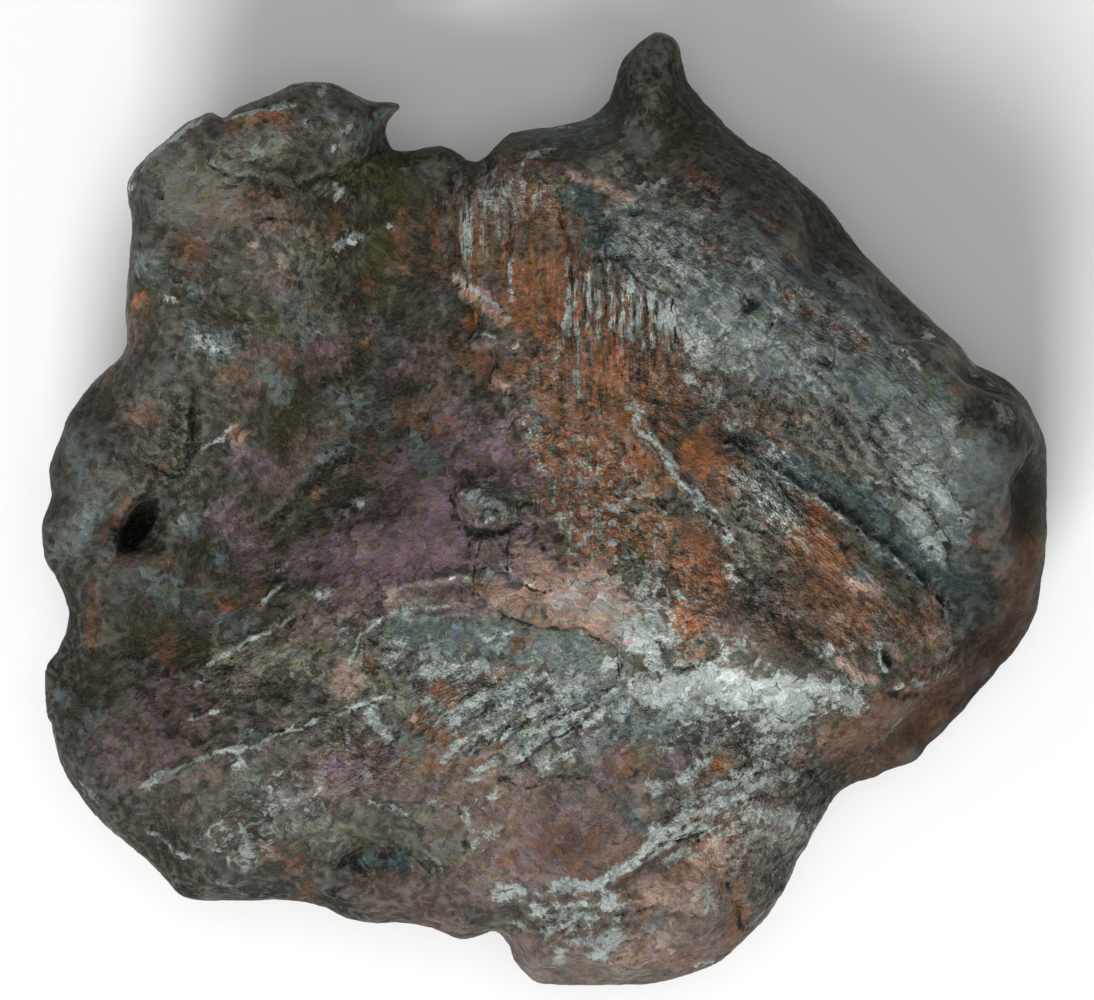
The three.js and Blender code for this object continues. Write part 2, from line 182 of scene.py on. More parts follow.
# ---- cracks and crests: height in mm, half width, half width and strength of the tint, then x, y -
CRACKS: Marks = (
    (-0.12, 3.0, 1.4, 0.6, 157, 160, 158, 185, 162, 212), (-0.33, 3, 1.5, 0.8, 205, 162, 230, 178, 262, 178),
    (-0.44, 4, 2, 0.9, 300, 186, 350, 170, 385, 150), (-0.39, 6, 3, 0.8, 258, 218, 290, 222),
    (-0.28, 4, 2, 0.7, 325, 380, 350, 375), (-0.55, 8, 5, 0.8, 305, 490, 355, 450),
    (-0.44, 5, 3, 0.7, 300, 500, 262, 530), (-0.44, 4, 2, 0.7, 560, 190, 562, 225, 570, 245),
    (-0.28, 3, 1.6, 0.9, 508, 532, 507, 565, 515, 580, 530, 589, 546, 592),
    (-0.35, 3.5, 1.8, 0.95, 893, 488, 915, 500, 934, 520, 946, 545, 950, 565),
    (-0.3, 3.5, 1.6, 0.8, 930, 470, 950, 492, 962, 520),
    (-0.44, 4, 2, 0.8, 885, 478, 915, 497, 940, 530, 952, 548),
    (-0.28, 3, 1.4, 0.8, 650, 662, 680, 669, 705, 666, 720, 652),
    (-0.22, 2.5, 1.6, 0.8, 500, 780, 530, 786, 560, 778, 600, 780), (-0.28, 4, 2.5, 0.6, 805, 765, 830, 790),
    (-0.33, 4, 1.5, 0.8, 545, 915, 560, 925, 590, 922),
)
CRESTS: Marks = (
    (0.3, 5, 3, 1.0, 885, 335, 905, 350, 917, 368), (0.3, 5, 3, 0.9, 895, 690, 925, 682, 945, 668),
    (0.4, 5, 4.6, 1.0, 690, 802, 735, 780, 768, 760),
)


def along_lines(lines: Marks, lead: tuple[float, float], aside: float = 0.0) -> Marks:
    """Marks with the same lead that follow the drag lines, or run a little to the right of them."""
    return tuple((*lead, x + aside, top, x + aside, bottom) for x, top, bottom in lines)


def tints_of(creases: Marks) -> Marks:
    """The tinted marks of some cracks or crests: half width, strength, then x, y."""
    return tuple(crease[2:] for crease in creases)


def forms_of(creases: Marks) -> Marks:
    """The carved marks of some cracks or crests: height, half width, then x, y."""
    return tuple((*crease[:2], *crease[4:]) for crease in creases)


# ---- where the tints lie: half width, strength, then x, y along the mark -------------------------
PAINT: dict[Tint, Marks] = {
    # painted shade and dark olive patina: in the valley, on rims that face away from the light, under the
    # knob and in the pit below the plate
    Tint.SHADE: (
        (18, 0.5, 560, 130, 600, 130), (24, 1.0, 650, 60, 660, 110, 720, 150, 780, 210, 850, 270, 920, 330),
        (16, 1.0, 960, 370, 1010, 400), (30, 0.7, 330, 170, 260, 205, 210, 215),
        (30, 0.5, 390, 120, 450, 150), (30, 0.6, 200, 430, 240, 420), (34, 0.6, 380, 220, 330, 250),
        (30, 0.5, 250, 300, 320, 300), (24, 0.5, 150, 330, 180, 310),
        (30, 1.0, 400, 160, 405, 230, 385, 300, 355, 360, 350, 430), (34, 1.0, 345, 440, 290, 500, 230, 540),
        (26, 0.9, 300, 400, 280, 460), (30, 0.8, 380, 380, 390, 420),
        (36, 1.0, 220, 550, 160, 590, 110, 640, 90, 680), (26, 0.9, 120, 600, 70, 690),
        (26, 0.8, 210, 480, 170, 510), (30, 0.5, 90, 400, 120, 380), (14, 0.9, 72, 400, 52, 480),
        (14, 0.9, 48, 560, 50, 640, 56, 720), (18, 0.8, 600, 215, 640, 225, 690, 240),
        (12, 0.8, 470, 530, 510, 535), (20, 1.2, 480, 506, 502, 508), (26, 0.7, 700, 235, 760, 250),
        (10, 0.6, 780, 365), (10, 0.5, 730, 360, 760, 375), (12, 0.5, 830, 400),
        (30, 1.2, 1034, 450, 1038, 560), (16, 0.5, 760, 440, 830, 470),
        (30, 1.1, 1006, 600, 996, 660, 936, 744, 866, 786), (20, 0.8, 850, 740, 900, 700),
        (28, 0.8, 60, 640, 70, 720), (26, 0.5, 70, 640, 110, 700), (22, 0.6, 170, 740, 200, 700),
        (14, 0.9, 90, 800, 150, 860, 200, 892), (12, 0.7, 345, 872, 400, 862), (18, 0.6, 470, 850, 430, 870),
        (12, 0.8, 250, 895, 330, 905, 380, 925, 440, 930), (14, 0.7, 820, 760, 790, 800),
        (14, 0.9, 745, 940, 790, 880, 830, 800), (12, 0.7, 520, 975, 600, 982, 690, 975),
    ),
    Tint.SAND: (
        (20, 0.8, 640, 140), (30, 1.2, 184, 175, 200, 205), (14, 0.8, 240, 145, 280, 140),
        (12, 0.6, 215, 150, 235, 165), (18, 0.5, 300, 240, 312, 262), (20, 0.6, 260, 330, 330, 322),
        (24, 0.6, 480, 200, 480, 260), (14, 0.8, 470, 230, 485, 270), (16, 0.6, 620, 150, 600, 170),
        (16, 0.7, 500, 240, 490, 200), (30, 0.5, 560, 380, 600, 440), (50, 0.9, 690, 300, 780, 350, 860, 420),
        (34, 0.8, 640, 220, 700, 230), (18, 0.7, 700, 220, 740, 240), (30, 0.6, 640, 520, 700, 560),
        (26, 0.6, 760, 560, 820, 610), (18, 1.0, 732, 500, 745, 545), (30, 0.5, 560, 660, 640, 700),
        (34, 0.55, 330, 660, 420, 700, 520, 760), (10, 1.0, 405, 610, 450, 609, 490, 614),
        (20, 0.8, 230, 650, 300, 660), (16, 0.8, 300, 600, 330, 640), (24, 0.6, 290, 820, 330, 840),
        (22, 0.8, 440, 820, 480, 880), (26, 0.55, 720, 760, 780, 830), (18, 0.7, 790, 820),
        (14, 0.7, 650, 900, 700, 890),
    ),
    Tint.CLAY: (
        (22, 0.5, 210, 225, 270, 215), (20, 0.6, 250, 380, 280, 350), (26, 0.5, 300, 300, 330, 340),
        (20, 0.6, 290, 480, 330, 440), (20, 0.6, 120, 330, 110, 370), (26, 0.5, 430, 350, 440, 400),
        (24, 0.6, 700, 600, 760, 640), (22, 0.5, 890, 620, 910, 650), (24, 0.6, 640, 560, 600, 540),
        (30, 0.5, 420, 620, 480, 600), (20, 0.5, 520, 650, 560, 660), (30, 0.7, 330, 770, 420, 770),
        (34, 0.4, 100, 740, 180, 760), (26, 0.3, 150, 690, 200, 720), (24, 0.4, 340, 600, 300, 640),
        (16, 0.6, 210, 590, 250, 600), (26, 0.95, 380, 895, 440, 905, 470, 880),
        (44, 1.0, 480, 800, 560, 850, 600, 830), (24, 0.5, 600, 780, 650, 800), (26, 0.6, 700, 800, 760, 820),
        (32, 1.0, 530, 965, 620, 962, 700, 940), (34, 0.9, 650, 900, 720, 870),
    ),
    Tint.OLIVE: (
        (22, 1.0, 645, 45, 665, 60, 672, 100, 692, 135), (12, 0.5, 590, 130, 610, 115),
        (14, 0.5, 530, 135, 560, 128), (26, 1.0, 692, 120, 740, 165, 790, 215, 832, 255),
        (14, 0.9, 850, 270, 900, 315), (13, 0.9, 940, 345, 985, 385), (12, 0.9, 330, 188, 388, 163),
        (8, 0.9, 240, 105, 310, 95), (8, 0.8, 214, 121), (16, 1.0, 392, 150, 440, 166, 500, 145),
        (18, 0.8, 412, 185), (8, 0.6, 225, 320, 320, 320), (9, 0.8, 183, 396, 188, 440, 176, 462),
        (20, 0.8, 402, 190, 392, 250, 382, 300), (9, 1.0, 345, 458, 308, 488), (6, 0.8, 325, 380, 352, 376),
        (20, 0.5, 372, 330, 366, 400), (14, 0.7, 110, 640), (12, 0.5, 68, 430, 60, 480), (8, 0.6, 640, 210),
        (20, 0.9, 600, 500, 640, 560), (16, 0.8, 580, 430, 590, 480), (14, 0.8, 640, 470, 650, 520),
        (15, 1.1, 484, 510, 506, 508), (15, 0.8, 1022, 410, 1032, 470, 1034, 540, 1022, 600),
        (9, 0.9, 818, 482, 860, 512, 880, 530), (12, 0.7, 1000, 640, 940, 700), (30, 0.9, 958, 580, 995, 610),
        (16, 0.9, 150, 632, 192, 650), (14, 0.6, 220, 600, 262, 578), (10, 0.5, 45, 680, 50, 730),
        (12, 0.8, 70, 792, 130, 850, 182, 896), (10, 0.8, 120, 812), (16, 0.6, 300, 842, 330, 872),
        (8, 0.7, 345, 838, 380, 832),
    ),
    Tint.VIOLET: (
        (14, 0.4, 330, 350), (18, 0.3, 370, 330, 400, 360), (16, 0.5, 240, 450, 270, 470),
        (32, 0.95, 350, 565, 400, 552, 450, 540), (30, 0.9, 430, 500), (22, 0.7, 400, 470),
        (30, 0.5, 440, 430, 490, 440), (8, 0.9, 480, 345), (8, 0.6, 500, 380), (26, 0.7, 480, 450, 512, 470),
        (14, 0.5, 480, 600, 500, 580), (24, 0.7, 520, 540, 516, 565), (8, 0.7, 785, 272), (16, 0.5, 780, 600),
        (8, 1.0, 505, 655), (18, 0.6, 310, 560, 335, 585), (34, 0.34, 150, 730, 180, 700),
        (14, 1.0, 340, 770), (8, 0.9, 365, 775), (20, 0.5, 230, 520, 250, 560), (12, 0.6, 290, 800),
        (26, 0.34, 90, 760, 130, 770), (30, 0.55, 560, 820, 540, 860), (8, 1.0, 600, 780),
        (12, 0.9, 590, 755, 620, 760), (10, 0.7, 675, 757), (12, 0.8, 630, 820),
        (18, 0.45, 670, 930, 700, 940),
    ),
    Tint.SLATE: (
        (16, 0.6, 640, 140), (10, 0.5, 655, 72), (28, 0.8, 740, 230, 800, 270, 880, 340),
        (12, 0.7, 850, 300, 880, 320), (10, 0.6, 900, 350), (12, 0.9, 360, 135, 385, 125),
        (10, 0.6, 330, 120), (14, 1.0, 200, 335, 226, 346), (10, 0.7, 235, 376),
        (12, 0.8, 150, 270, 140, 258), (10, 0.6, 190, 285), (12, 0.7, 310, 275),
        (14, 0.6, 290, 300, 310, 330), (12, 0.6, 265, 375, 285, 395), (8, 0.8, 328, 455, 350, 449),
        (16, 0.6, 350, 400, 380, 420), (16, 0.7, 80, 470, 75, 440), (15, 0.9, 100, 505, 70, 542),
        (12, 0.8, 190, 520), (14, 0.8, 430, 462, 420, 450), (14, 0.6, 590, 215, 620, 230), (5, 0.8, 520, 255),
        (8, 0.6, 560, 230), (6, 1.0, 539, 405, 541, 428), (12, 0.9, 472, 498, 500, 504),
        (8, 0.6, 472, 494, 492, 492), (48, 1.0, 690, 290, 780, 340, 870, 400), (34, 0.9, 640, 240, 700, 250),
        (18, 1.0, 700, 310, 760, 330), (14, 1.0, 785, 320, 802, 345), (22, 1.0, 860, 380, 920, 386),
        (12, 0.7, 760, 260), (40, 1.0, 910, 430, 940, 520), (30, 0.8, 980, 460), (18, 0.9, 930, 410),
        (26, 1.0, 980, 450, 986, 480, 960, 482), (18, 1.0, 918, 535, 932, 552), (20, 1.0, 905, 500, 935, 545),
        (14, 0.9, 925, 480, 955, 510), (9, 1.0, 770, 458, 800, 470), (9, 0.9, 800, 470, 850, 500),
        (12, 1.0, 880, 540, 930, 582, 960, 612), (12, 0.7, 860, 575), (10, 0.6, 870, 620),
        (10, 0.7, 1010, 580), (22, 0.6, 620, 700, 700, 720), (14, 0.9, 660, 725),
        (16, 0.6, 660, 690, 700, 700), (14, 0.6, 720, 700, 760, 720), (26, 0.6, 440, 700, 520, 740),
        (24, 0.55, 480, 650, 560, 660), (17, 1.1, 400, 628, 470, 638, 560, 648, 590, 658),
        (16, 0.7, 420, 642), (26, 0.8, 560, 700, 600, 690, 620, 720), (20, 0.7, 480, 710, 520, 690),
        (14, 0.7, 600, 750), (20, 0.7, 540, 740), (14, 0.9, 410, 746), (20, 0.5, 450, 660, 500, 665),
        (16, 0.5, 140, 580, 190, 595), (12, 0.6, 215, 560), (10, 0.9, 60, 700), (12, 0.6, 95, 720),
        (10, 0.8, 250, 735), (14, 0.55, 225, 610, 250, 640), (14, 0.5, 250, 780, 265, 800),
        (14, 0.5, 430, 860), (8, 0.8, 635, 815), (16, 0.7, 660, 935), (10, 0.6, 560, 915),
    ),
    Tint.TEAL: (
        (20, 0.7, 540, 130, 600, 120), (14, 0.5, 345, 440, 310, 480), (12, 0.5, 390, 330, 380, 380),
        (16, 1.0, 575, 200, 600, 235), (8, 0.6, 555, 545),
        # the marks along the fold valley, from 738, 443 to 990, 602, are dark teal patina with painted shade
        # at the valley's foot
        (14, 1.0, 738, 443, 775, 460, 812, 478, 850, 502, 885, 534), (12, 1.0, 885, 534, 925, 570, 960, 612),
        (18, 0.8, 860, 500, 900, 542, 935, 580), (12, 0.8, 790, 462, 830, 484), (24, 0.8, 962, 578, 990, 602),
        (6, 0.9, 412, 690), (18, 0.35, 120, 590, 190, 600), (14, 0.5, 60, 720, 90, 760),
        # the first mark here is painted shade in the pit under the ledge
        (8, 1.0, 345, 862, 375, 858, 400, 860), (12, 0.6, 620, 800, 640, 825),
    ),
    Tint.RUST: (
        # the upper right rim
        (7, 0.8, 960, 395), (8, 0.8, 950, 355), (16, 0.55, 760, 215, 800, 240), (12, 0.5, 690, 170, 712, 186),
        # the torn lobe at the top left
        (9, 0.8, 232, 124, 262, 118, 290, 114), (14, 0.6, 285, 212), (12, 0.5, 250, 200, 280, 200),
        # the left slope
        (20, 0.8, 192, 248), (9, 1.0, 138, 302), (12, 0.7, 240, 375), (8, 0.7, 285, 355), (9, 0.7, 235, 435),
        (4, 1.0, 250, 245), (10, 0.55, 330, 230, 345, 215),
        # the valley
        (7, 1.0, 365, 290), (7, 1.0, 368, 345), (7, 1.0, 315, 490), (10, 0.7, 370, 460),
        (10, 0.6, 400, 220, 402, 270),
        # the left plate and its hole
        (14, 0.75, 140, 415), (10, 0.5, 110, 380), (5, 1.0, 163, 470), (6, 0.75, 112, 535, 126, 502),
        (5, 0.8, 145, 490), (8, 0.65, 98, 585, 86, 640), (8, 0.6, 170, 560), (10, 0.5, 120, 560, 150, 560),
        # the violet slope
        (14, 0.6, 400, 415, 440, 430),
        # the scoop
        (24, 0.7, 520, 170, 540, 200), (22, 0.75, 480, 190, 475, 260),
        (26, 0.95, 520, 190, 530, 250, 525, 300), (18, 0.55, 430, 225, 442, 262),
        # the fan below the scoop
        (44, 0.66, 560, 300, 590, 400, 630, 480), (34, 0.9, 550, 240, 560, 330, 572, 420, 600, 480),
        (36, 0.85, 612, 330, 622, 400, 632, 470), (22, 1.0, 660, 360, 672, 400),
        (34, 0.6, 560, 450, 600, 540), (14, 0.8, 470, 360, 520, 370),
        # the long fold
        (26, 0.5, 740, 415, 830, 430), (14, 0.55, 700, 380), (10, 0.6, 800, 300, 830, 330),
        (7, 0.9, 860, 342), (10, 0.7, 715, 250), (14, 0.6, 800, 420, 830, 430), (11, 1.0, 710, 430),
        (10, 0.6, 870, 440, 850, 460),
        # the lobe and the dark valley
        (8, 1.0, 980, 540),
        # the slope under the dark valley
        (26, 0.6, 700, 550, 716, 590), (24, 0.75, 800, 540, 840, 600), (22, 1.0, 700, 450, 720, 480),
        (30, 0.7, 650, 520, 690, 560), (18, 0.85, 700, 535, 718, 575), (18, 1.0, 680, 620),
        (16, 1.0, 815, 520, 830, 560), (26, 1.0, 815, 600, 850, 620), (18, 0.5, 780, 640, 790, 600),
        # the lower right rim
        (20, 1.1, 836, 742, 872, 728), (26, 1.1, 896, 716, 962, 684), (14, 1.0, 990, 640, 1010, 620),
        (26, 1.1, 1030, 560, 1014, 650, 945, 735, 875, 775), (16, 0.9, 1010, 520, 1022, 562),
        (16, 0.7, 900, 620, 940, 640), (10, 0.7, 900, 660),
        # the tongue
        (2.6, 1.3, 476, 582, 488, 596, 506, 611, 525, 620, 548, 626, 582, 624, 604, 636),
        # the brow
        (8, 0.9, 690, 655),
        # the plate under the knob
        (24, 0.45, 420, 760, 480, 770), (9, 1.0, 370, 665), (9, 1.0, 430, 690, 450, 700),
        (14, 0.95, 425, 725, 455, 740), (12, 1.0, 430, 765), (7, 0.9, 495, 750),
        (10, 0.6, 520, 640, 560, 628), (8, 0.6, 480, 680, 520, 670),
        # the lower left slope
        (9, 1.0, 230, 605), (7, 1.0, 265, 590), (16, 0.8, 165, 650), (8, 0.8, 220, 775), (8, 0.5, 180, 815),
        (6, 0.7, 240, 815),
        # the lower left rim
        (16, 0.6, 270, 845, 290, 860), (8, 0.9, 310, 890),
        # the lip at the bottom
        (14, 0.5, 420, 880, 440, 920),
        # the middle below the plate
        (30, 0.5, 530, 850, 610, 860), (14, 0.85, 640, 760, 620, 770), (8, 0.8, 640, 790),
        (14, 0.7, 560, 830, 600, 850),
        # the pale ridge over the foot
        (10, 1.0, 705, 765, 725, 765),
        # the right step
        (8, 0.9, 780, 790), (10, 0.9, 800, 760), (12, 0.7, 700, 850, 740, 830),
        # the foot
        (24, 0.6, 720, 840, 680, 880), (16, 0.6, 540, 870), (8, 0.95, 590, 875), (6, 1.0, 620, 895),
        (11, 1.2, 738, 888, 734, 945), (16, 0.6, 650, 960, 700, 950), (16, 0.5, 640, 910, 690, 930),
    ),
    Tint.SALMON: (
        (14, 0.4, 280, 270), (6, 0.7, 252, 248), (8, 0.5, 225, 375), (10, 0.6, 235, 435), (10, 0.6, 325, 355),
        (6, 1.1, 460, 282, 480, 299, 504, 320), (5, 0.9, 565, 172, 600, 184, 632, 200), (10, 0.85, 500, 385),
        (7, 0.6, 700, 455), (12, 0.85, 500, 590, 520, 605), (14, 0.6, 530, 560, 545, 570),
        (10, 0.5, 845, 585, 870, 590), (12, 0.6, 832, 622), (12, 0.6, 930, 600, 940, 650),
        (6, 0.9, 840, 660, 870, 680), (22, 1.1, 545, 590, 590, 600, 620, 618), (20, 0.95, 600, 592),
        (10, 0.85, 630, 642), (8, 0.7, 415, 720), (12, 0.5, 390, 600), (14, 1.0, 350, 677),
        (12, 0.6, 345, 610), (12, 0.6, 440, 930), (14, 0.8, 720, 850, 700, 870),
        (14, 0.7, 650, 895, 700, 900), (18, 0.6, 660, 945, 620, 952),
    ),
    Tint.EMBER: (
        (4, 0.8, 250, 122, 286, 114), (5, 0.8, 138, 300), (5, 0.9, 368, 344), (8, 1.0, 470, 320),
        (10, 0.95, 515, 315, 545, 330), (8, 0.9, 510, 300), (8, 0.7, 560, 300), (10, 0.6, 580, 350),
        (8, 0.7, 670, 375), (8, 0.7, 540, 250, 545, 275), (30, 0.52, 545, 270, 560, 340), (7, 1.0, 545, 395),
        (6, 1.0, 610, 415), (12, 1.0, 690, 450, 716, 455), (8, 1.0, 665, 430), (10, 0.7, 620, 380, 640, 400),
        (8, 0.8, 640, 460, 650, 480), (8, 0.7, 590, 470), (34, 0.52, 610, 370, 640, 460),
        (30, 0.5, 560, 450, 600, 520), (6, 0.8, 570, 560), (8, 0.9, 815, 515), (6, 0.8, 840, 515),
        (9, 1.0, 680, 620, 700, 622), (10, 0.9, 700, 550), (7, 0.9, 720, 580), (24, 0.35, 650, 520, 690, 570),
        (18, 0.5, 700, 440, 724, 470), (14, 0.5, 700, 545, 712, 572), (8, 0.7, 930, 720, 960, 705),
        (5, 1.0, 700, 655), (6, 1.0, 440, 690), (5, 1.0, 230, 610), (8, 1.0, 712, 765),
    ),
    Tint.PALE: (
        *along_lines(MAIN_LINES, (2.3, 0.95)),
        *along_lines(FINE_LINES, (1.9, 0.86)),
        *along_lines(FAN_LINES, (4.6, 0.46)),
        *tints_of(CRESTS),
        # the horn
        (4, 0.7, 560, 125, 580, 121),
        # the upper right rim
        (8, 0.9, 832, 278, 850, 291), (6, 0.8, 928, 336), (5, 0.7, 975, 370), (3, 0.6, 990, 385),
        (4, 0.8, 720, 195), (4, 0.7, 755, 152, 772, 160), (12, 0.5, 840, 320, 850, 330),
        # the torn lobe at the top left
        (5, 1.0, 249, 157, 256, 147), (5, 1.0, 322, 88), (4, 0.9, 308, 125), (5, 0.8, 335, 145),
        (5, 0.7, 347, 130), (2.4, 1.4, 226, 119, 252, 113, 275, 108, 294, 104),
        # the first mark on the next line is a painted glint along the rim where the light grazes it
        (3.0, 1.3, 128, 197, 130, 178, 141, 163, 157, 151, 175, 138, 195, 122, 210, 110), (7, 0.8, 335, 190),
        # the left slope
        (10, 0.7, 204, 342, 226, 346), (6, 0.7, 358, 234, 340, 247), (5, 1.0, 173, 298), (4, 0.9, 181, 285),
        (3, 1.0, 174, 355), (2.4, 1.0, 200, 340, 228, 350), (3, 0.7, 200, 300), (4, 0.7, 305, 318),
        (3, 0.7, 310, 333, 324, 328), (4, 0.6, 296, 362), (2.5, 0.8, 205, 450, 220, 440, 235, 424),
        # the valley
        (3, 1.0, 390, 226),
        # the left plate and its hole
        (4, 0.9, 115, 458), (3, 0.9, 165, 481), (3, 0.9, 205, 512),
        # the violet slope
        (4, 1.0, 346, 514), (5, 1.0, 358, 502),
        # the scoop
        (26, 0.42, 480, 190, 520, 190), (1.8, 1.3, 454, 276, 470, 286, 490, 302, 508, 318),
        (1.6, 1.0, 472, 338, 486, 334, 496, 340), (12, 1.0, 670, 320, 690, 335, 700, 356), (6, 0.6, 665, 180),
        (4, 0.9, 520, 176, 525, 160, 540, 150, 552, 148), (5, 0.7, 530, 182),
        (5, 0.7, 472, 200, 466, 235, 470, 275), (4, 0.7, 488, 185, 484, 215), (4, 0.6, 576, 195),
        (6, 0.6, 640, 185, 655, 190), (5, 0.6, 515, 345),
        # the fan below the scoop
        (30, 0.28, 560, 450, 640, 500), (4.5, 0.7, 628, 400, 645, 436, 668, 465, 690, 490),
        (2, 1.0, 632, 398, 650, 432, 676, 468), (5, 0.8, 560, 340, 562, 370), (4, 0.7, 545, 470, 530, 430),
        (3, 0.8, 520, 420, 530, 450), (3, 0.7, 576, 350, 578, 395),
        # the knob and the drips under it
        (14, 0.5, 505, 575), (4.6, 0.7, 470, 492, 486, 488), (2, 0.9, 486, 522, 496, 518),
        # the long fold
        (30, 0.46, 680, 290, 750, 340, 800, 370), (26, 0.44, 640, 235, 700, 255),
        (10, 0.7, 650, 250, 700, 270), (8, 0.7, 690, 375, 716, 402), (9, 0.7, 720, 320, 742, 346),
        (7, 0.8, 735, 425), (7, 0.6, 755, 265), (4, 0.7, 720, 235), (6, 0.6, 690, 215, 700, 225),
        (6, 0.6, 800, 290, 825, 305), (6, 0.6, 770, 285, 795, 300), (4, 0.6, 720, 400, 712, 385),
        # the lobe and the dark valley
        (9, 0.8, 905, 515, 932, 548), (8, 0.9, 925, 482, 950, 505), (30, 0.42, 900, 455, 940, 520),
        (22, 0.5, 750, 470, 785, 505), (10, 0.7, 925, 470, 945, 496, 962, 520), (8, 0.6, 905, 465),
        (6, 0.9, 960, 455), (7, 0.6, 912, 500, 935, 532), (6, 0.9, 1000, 408, 1006, 420), (4, 0.7, 985, 430),
        # the long marks from 730, 447 to 952, 614 are a painted highlight along the lit edge above the dark
        # valley
        (6, 0.6, 950, 425), (2.5, 0.9, 730, 447, 775, 470, 800, 487, 830, 508),
        (2.5, 0.9, 830, 508, 870, 538, 905, 566, 935, 595, 952, 614), (5, 0.7, 872, 532),
        (4, 0.7, 740, 455, 752, 480, 768, 505), (10, 0.5, 775, 455, 790, 500),
        # the slope under the dark valley
        (6, 0.8, 818, 652, 850, 645), (8, 0.7, 742, 642), (4.5, 0.7, 690, 490, 708, 520, 730, 550),
        (1.8, 1.0, 698, 490, 716, 512, 732, 540), (4, 0.6, 660, 590, 655, 550), (5, 0.5, 730, 570, 740, 590),
        # the lower right rim
        (3, 0.7, 942, 604, 950, 635, 940, 665), (3, 0.9, 880, 643, 884, 672),
        # the tongue
        (16, 0.62, 575, 596, 610, 606, 640, 622), (12, 0.8, 620, 612, 640, 640),
        # the mark from 560, 600 to 600, 602 is a painted highlight on the bulge
        (26, 0.5, 620, 600, 660, 620), (11, 1.2, 638, 646, 648, 618, 668, 636), (12, 0.5, 560, 600, 600, 602),
        (2.5, 1.0, 530, 586),
        # the brow: pale patina, with painted light where it turns to face the light
        (40, 0.58, 680, 700, 790, 710), (8, 1.0, 650, 655, 665, 672),
        (14, 1.0, 640, 690, 700, 686, 760, 690, 800, 700), (12, 1.0, 700, 676, 742, 682),
        (14, 0.85, 780, 690, 830, 690, 852, 700), (6, 1.0, 722, 650), (12, 0.7, 800, 720, 780, 730),
        (6, 0.9, 650, 700, 700, 705), (8, 0.7, 760, 745, 790, 740), (5, 0.8, 620, 716, 632, 698),
        (8, 0.6, 590, 680, 610, 660),
        # the plate under the knob
        (40, 0.36, 440, 680, 520, 690, 620, 690), (6, 0.9, 372, 712, 386, 736),
        (1.4, 0.6, 375, 594, 400, 587, 430, 581, 470, 578),
        (2.2, 1.1, 350, 662, 356, 644, 368, 628, 385, 616), (7, 0.7, 398, 644, 388, 665), (6, 0.9, 410, 615),
        (9, 1.0, 430, 672, 455, 676, 480, 668), (5, 1.0, 425, 702), (6, 0.7, 420, 655), (8, 0.7, 385, 640),
        (4.1, 1.0, 466, 748, 500, 722), (4.1, 1.05, 498, 737, 532, 710, 562, 696),
        (4.1, 1.05, 520, 754, 556, 724, 592, 706), (4.1, 1.0, 452, 718, 480, 700, 508, 690),
        (4.1, 1.0, 560, 738, 604, 712), (4.4, 1.1, 482, 700, 520, 684, 548, 676),
        (4.4, 1.0, 590, 704, 622, 690), (4.1, 0.9, 470, 778, 496, 758), (4.1, 0.9, 540, 770, 576, 748),
        (4.4, 0.9, 440, 760, 462, 742), (4.6, 1.0, 560, 690, 600, 674),
        (1.8, 0.9, 392, 612, 430, 606, 470, 610), (1.8, 1.0, 486, 640, 512, 632),
        (1.8, 1.0, 424, 646, 446, 640),
        # the lower left slope
        (10, 0.5, 246, 742, 236, 762), (5, 1.0, 318, 592), (2, 1.2, 208, 663, 228, 655, 246, 640, 270, 632),
        (2, 1.0, 262, 602, 286, 583), (1.8, 0.8, 276, 627, 298, 618),
        (1.6, 0.8, 190, 690, 208, 676, 222, 672), (1.6, 0.7, 330, 640, 345, 628, 352, 612),
        (5, 0.6, 281, 566), (3.6, 1.6, 143, 784, 158, 777, 170, 774),
        (2.2, 1.5, 168, 774, 192, 761, 217, 751, 245, 745),
        (1.8, 1.3, 262, 742, 292, 730, 325, 718, 355, 707, 389, 695),
        (1.8, 0.9, 190, 722, 215, 711, 232, 702), (4, 0.7, 335, 746, 352, 740), (4, 0.6, 310, 795),
        (5, 0.6, 365, 768),
        # the lower left rim
        (30, 0.3, 230, 840, 300, 800), (7, 1.4, 243, 846, 250, 856), (3, 1.2, 228, 861),
        (2.5, 1.1, 246, 838, 240, 826), (2.5, 0.8, 150, 830, 175, 850, 192, 859),
        (2.5, 0.8, 220, 882, 234, 886, 246, 895), (6, 0.6, 276, 775, 265, 810), (3, 0.9, 82, 786, 96, 800),
        (3, 0.6, 285, 825, 330, 820),
        # the lip at the bottom
        (2, 1.0, 372, 802, 390, 805, 406, 815), (4, 1.0, 430, 803, 440, 807), (3, 0.9, 443, 872),
        # the middle below the plate
        (8, 1.0, 682, 778, 700, 760), (6, 0.9, 655, 785, 668, 788), (5, 1.0, 464, 812, 468, 824),
        (4, 0.9, 462, 850), (5, 0.6, 500, 832, 470, 845), (5, 0.5, 480, 800, 500, 790),
        # the pale ridge over the foot
        (30, 0.38, 700, 820, 780, 830), (5.5, 1.3, 604, 882, 634, 862, 656, 836, 688, 816, 738, 797),
        (4.4, 1.05, 738, 797, 790, 771), (5, 1.05, 668, 843, 704, 826), (5, 0.8, 665, 862, 690, 852),
        (4, 0.7, 700, 798, 740, 785, 762, 778),
        # the right step
        (10, 0.7, 740, 820, 780, 815, 802, 825), (8, 0.6, 750, 840), (6, 0.6, 736, 866),
        # the foot
        (24, 0.24, 560, 920, 610, 930), (6, 1.1, 555, 886, 600, 886), (4, 1.0, 560, 888, 602, 888),
        (8, 1.0, 612, 900), (7, 0.7, 500, 893, 520, 890), (4.6, 0.9, 556, 906, 590, 905),
